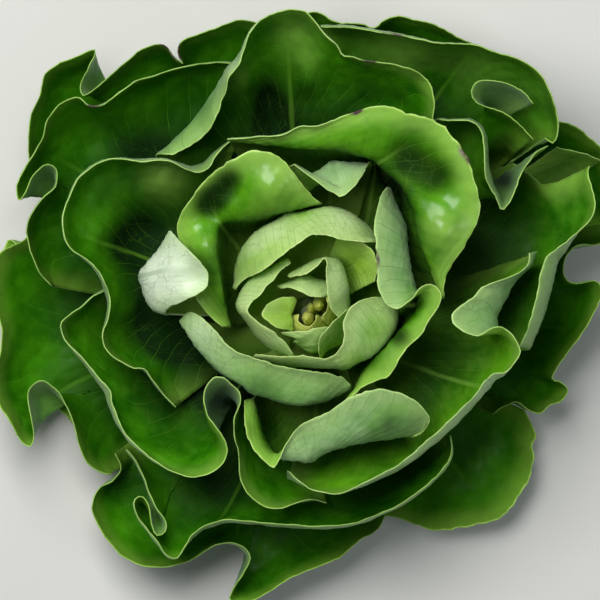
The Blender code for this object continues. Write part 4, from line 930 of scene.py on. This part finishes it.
# Outer leaves: the largest, oldest and darkest, open and frilled, with nicked and
# slightly bruised edges.
OUTER_SKIN = leaf_skin(
    "outer leaf", "outer_leaf", False,
    dict(colours=((0.08, 0.25, 0.02), (0.18, 0.42, 0.07), (0.42, 0.60, 0.24), (0.04, 0.13, 0.02),
                  (0.44, 0.70, 0.16)), vein_share=0.4, rough=0.45, wet=0.3, bloom=0.1),
    dict(colours=((0.014, 0.125, 0.001), (0.06, 0.30, 0.003), (0.30, 0.54, 0.09),
                  (0.14, 0.40, 0.02), (0.44, 0.72, 0.10)),
         vein_share=0.3, rough=0.26, wet=0.4, painted_low_shade=0.9))
grow(OUTER_SKIN, "leaf_outer_south_west", LARGE,
     [(-84, -63.6), (-80, -68.4), (-76.4, -75), (-73.4, -83), (-70, -91), (-65.4, -97.4),
      (-66.6, -102), (-70, -103), (-72, -98), (-73.4, -90), (-77, -85), (-80.4, -87.4),
      (-79, -94), (-74, -100.6), (-69.6, -106), (-65, -112.4), (-61, -113.8), (-57, -108.6),
      (-52.6, -102), (-46, -98), (-38, -96), (-24, -97), (-8, -98.2), (6, -98.8), (20, -97.6),
      (32, -93.4), (44, -87.6), (53, -81), (61, -74), (66, -66), (65.4, -57)],
     [56, 62, 64, 66, 66, 68, 70, 72, 66], [100, 100, 100, 105, 105, 105], calm=40, unfold=1.0,
     foot_turn=258, foot_span=84, rise=20)
grow(OUTER_SKIN, "leaf_outer_east_curl", MIDDLE,
     [(103.6, 79.4), (96.4, 87), (90, 91.6), (83, 94), (77.4, 96.4), (75, 100.6),
      (77.4, 105.6), (84, 106.2), (92, 104.8), (99, 101), (103.2, 95.6)],
     [84, 86, 88, 90, 91, 91, 90], [90], calm=36, die=3.0, foot_turn=62, foot_span=44, rise=26,
     loose=0.8, shield=0.5, shades=[(88, 100, 10, -0.3), (91, 79, 8, -0.6)])
grow(OUTER_SKIN, "leaf_outer_east_long", LARGE,
     [(109, 80), (112.6, 77.6), (115, 84), (113.8, 93), (110.4, 102.6), (104.6, 111),
      (96, 116.2), (86, 119.4), (76, 123), (67, 123.4), (60, 123.4), (53, 125), (43, 127.2),
      (32, 128.8), (20, 131), (6, 131.6)],
     [90, 93, 94, 94, 92, 88, 84, 78, 70], [100, 95, 95, 95, 100, 100], calm=24,
     foot_turn=68, foot_span=60, rise=16, loose=0.6,
     bruises=[(39, 128, 5)],
     shades=[(42, 122, 22, 0.4), (79, 114, 18, 0.25), (102, 98, 13, 0.2), (56, 102, 8, -0.6)])
grow(OUTER_SKIN, "leaf_outer_north_west", LARGE,
     [(-30, 114), (-38, 115.2), (-48, 114.6), (-60, 112.6), (-70, 109), (-79, 106.4),
      (-87, 101), (-95, 95.4), (-101, 95), (-105.6, 98.8), (-111, 98), (-116, 94.6),
      (-120.6, 88), (-122.6, 80.4), (-127, 72.6), (-131.6, 65), (-134.8, 57), (-133.4, 51),
      (-130.8, 54), (-127, 62), (-121, 67.8), (-116.6, 66.6), (-116.2, 59), (-121.6, 53),
      (-127, 46.6), (-130, 38), (-128.4, 29), (-124.6, 19), (-118.6, 12)],
     [56, 70, 76, 76, 72, 70, 74, 70, 62, 52], [100, 95, 90, 90, 95, 95], calm=28,
     foot_turn=145, foot_span=80, rise=22, bruises=[(-98.5, 95, 4)], shades=[(-75, 80, 20, -0.4)])
grow(OUTER_SKIN, "leaf_outer_south", LARGE,
     [(-90, -66), (-87, -73), (-90.6, -78.4), (-97, -81.6), (-100.4, -89), (-98.4, -98),
      (-92, -108), (-84, -115), (-74, -118.6), (-63, -118.2), (-54, -115), (-45, -109.4),
      (-37, -107.2), (-30.4, -109), (-27, -114), (-29.6, -121), (-34, -127.4), (-36.6, -134),
      (-30, -135.4), (-20, -131.4), (-10, -124.6), (-1, -120.6), (8, -117.4), (17, -113),
      (24, -106.4), (32, -102), (36, -95)],
     [24, 32, 34, 36, 40, 38, 34, 34, 30, 24], [80, 80, 85, 90, 80, 70], calm=26,
     foot_turn=250, foot_span=74, rise=10)
grow(OUTER_SKIN, "leaf_outer_west", LARGE,
     [(-128, 37), (-135, 31.6), (-143, 28), (-147, 20), (-146.4, 6), (-142.4, -8), (-143, -19),
      (-146, -31), (-143.6, -43), (-137.8, -52), (-132.8, -60.4), (-128.6, -62.4), (-127.2, -56),
      (-129, -46), (-129.6, -36), (-124, -31.8), (-118, -35), (-112.6, -43), (-109, -52),
      (-106.6, -61), (-103, -70), (-96, -75.2), (-90, -77.4)],
     [24, 32, 36, 38, 42, 44, 40, 34, 24], [60, 70, 80, 90, 90, 80], calm=42, die=2.2,
     foot_turn=190, foot_span=74, rise=10, shades=[(-125, -4, 25, -0.25)])
grow(OUTER_SKIN, "leaf_outer_north_back", LARGE,
     [(86, 118.4), (79, 123.2), (71, 126.4), (64, 130.4), (57, 133.4), (49, 135.2), (42, 136.8),
      (35, 134.6), (30.6, 131.2), (25, 132.8), (17, 132), (11, 134.6), (5, 138.6), (-3, 137.6),
      (-10, 134)],
     [40, 54, 58, 60, 60, 56, 46], [90], calm=24, foot_turn=78, foot_span=64, rise=12)
grow(OUTER_SKIN, "leaf_outer_far_west", LARGE,
     [(-17, 127), (-24, 134), (-33, 135), (-43, 131.4), (-53, 128), (-59.4, 124.6),
      (-60.2, 119.6), (-57.6, 114.8), (-61.6, 117.2), (-66, 123.6), (-74, 123), (-82, 117.8),
      (-90, 111), (-98, 104), (-104.6, 100.2), (-105.6, 104.6), (-101, 114), (-98.4, 121.4),
      (-105, 119.2), (-115, 115.2), (-122, 109.6), (-124.8, 99), (-129, 90), (-130, 78),
      (-129.6, 66)],
     [40, 50, 54, 54, 52, 50, 54, 50, 44, 34], [85], calm=24, foot_turn=128, foot_span=70,
     rise=8, bruises=[(-60, 120, 4), (-66, 123, 3)])
grow(OUTER_SKIN, "leaf_outer_east_low", LARGE,
     [(86, -48), (92, -43.8), (98, -42), (103, -46), (108, -47.4), (113, -43.4), (118.6, -41),
      (121, -36), (117.4, -32.6), (113.4, -31.4), (118, -22.6), (124.4, -14), (130, -6),
      (134.4, 3), (136.8, 9.6), (133.6, 14.4), (127, 13.2), (121.4, 13.6), (118.4, 19),
      (120.8, 27), (126, 31.2), (133, 31.2), (139.6, 34), (141, 42)],
     [20, 30, 36, 40, 44, 48, 46, 36], [80], calm=22, foot_turn=352, foot_span=70,
     rise=10)
grow(OUTER_SKIN, "leaf_outer_south_east", LARGE,
     [(34, -95), (44, -96.6), (52, -100.4), (60, -102), (70, -101), (80, -99), (88, -97),
      (95, -91.4), (99.8, -83.4), (103.6, -77), (105.6, -69), (104.4, -62), (106.6, -58.8),
      (104.6, -52.6), (101, -46)],
     [12, 16, 19, 20, 17, 10], [40], calm=20, foot_turn=318, foot_span=64, rise=12,
     shades=[(79, -70, 28, -0.3)])
grow(OUTER_SKIN, "leaf_outer_far_east", LARGE,
     [(147, 40), (145, 50), (141.4, 62), (137, 72), (130, 81.4), (121, 87.4), (114, 89),
      (104, 96)],
     [16, 26, 38, 42, 40, 30], [70], calm=22, foot_turn=28, foot_span=64, rise=16)


# Lowest leaves: as tough and dark as the outer ones, pressed nearly flat on the table
# by the head's weight and mostly hidden under the rest.
grow(OUTER_SKIN, "leaf_low_north", LARGE,
     [(64, 92), (56, 108), (40, 119), (22, 124), (2, 128), (-20, 127), (-44, 120), (-62, 108),
      (-74, 92)],
     [8, 14, 18, 16, 18, 14, 8], [30], calm=20, foot_turn=95, foot_span=64, rise=1)
grow(OUTER_SKIN, "leaf_low_west", LARGE,
     [(-104, 78), (-118, 62), (-126, 44), (-131, 26), (-140, 34), (-143, 12), (-134, -14),
      (-124, -36), (-110, -52)],
     [6, 10, 14, 14, 14, 10, 6], [30], calm=20, foot_turn=172, foot_span=64, rise=1)
grow(OUTER_SKIN, "leaf_low_south", LARGE,
     [(-80, -62), (-76, -84), (-60, -98), (-38, -104), (-14, -110), (10, -106), (26, -96),
      (34, -84)],
     [6, 10, 14, 12, 10, 6], [30], calm=20, foot_turn=252, foot_span=64, rise=1)
grow(OUTER_SKIN, "leaf_low_east", LARGE,
     [(80, -28), (92, -22), (99, -8), (97, 4), (87, 13)],
     [6, 10, 12, 14, 10, 6], [30], calm=20, foot_turn=5, foot_span=64, rise=1)


# The table under the head, plain and pale, lit by a wide soft lamp above its far left
# and a weaker one on the right.  The camera looks straight down, as the photograph does.
def table_top():
    material, end, pen = new_material("pale table top")
    place = pen.node("TexCoord", {}, {}, "Object")
    grain = pen.lumps(place, 40.0, 4)
    colour = grain.tint((0.56, 0.56, 0.54), (0.61, 0.61, 0.59))
    paint = pen.node("BsdfPrincipled", {}, {"Base Color": colour,
                                            "Roughness": grain.fit(0, 1, 0.55, 0.7)})
    pen.join(end.inputs["Surface"], paint)
    return material


TABLE_REACH = 3.0
floor_mesh = bpy.data.meshes.new("table_top")
floor_mesh.from_pydata([(x * TABLE_REACH, y * TABLE_REACH, 0) for x, y in
                        ((-1, -1), (1, -1), (1, 1), (-1, 1))], [], [(0, 1, 2, 3)])
floor_mesh.materials.append(table_top())
floor = bpy.data.objects.new("table_top", floor_mesh)
bpy.context.scene.collection.objects.link(floor)


LAMP_AIM = (0, 0, 0.06)


def lamp(name, place, size, power, colour):
    """A square soft lamp that points at the middle of the head."""
    light = bpy.data.lights.new(name, "AREA")
    light.size, light.energy, light.color = size, power, colour
    stand = bpy.data.objects.new(name, light)
    stand.location = place
    way = Vector(LAMP_AIM) - Vector(place)
    stand.rotation_euler = way.to_track_quat("-Z", "Y").to_euler()
    bpy.context.scene.collection.objects.link(stand)


lamp("far left lamp", (-0.32, 0.42, 1.2), 0.8, 20.0, (1.0, 0.99, 0.96))
lamp("right lamp", (0.8, -0.3, 0.9), 0.5, 2.0, (0.92, 0.96, 1.0))
world = bpy.data.worlds.new("soft room")
world.use_nodes = True
world.node_tree.nodes["Background"].inputs["Color"].default_value = (0.86, 0.92, 1.0, 1)
world.node_tree.nodes["Background"].inputs["Strength"].default_value = 0.16
bpy.context.scene.world = world
bpy.context.scene.view_settings.view_transform = "Standard"

CAMERA_HEIGHT, RIM_HEIGHT, SEEN_WIDTH, SENSOR_MM = 5.0, 0.085, 0.276, 36.0
eye = bpy.data.cameras.new("camera")
eye.sensor_width = SENSOR_MM
eye.lens = SENSOR_MM * (CAMERA_HEIGHT - RIM_HEIGHT) / SEEN_WIDTH
camera = bpy.data.objects.new("camera", eye)
camera.location = (-0.0037, 0.0055, CAMERA_HEIGHT)
bpy.context.scene.collection.objects.link(camera)
bpy.context.scene.camera = camera
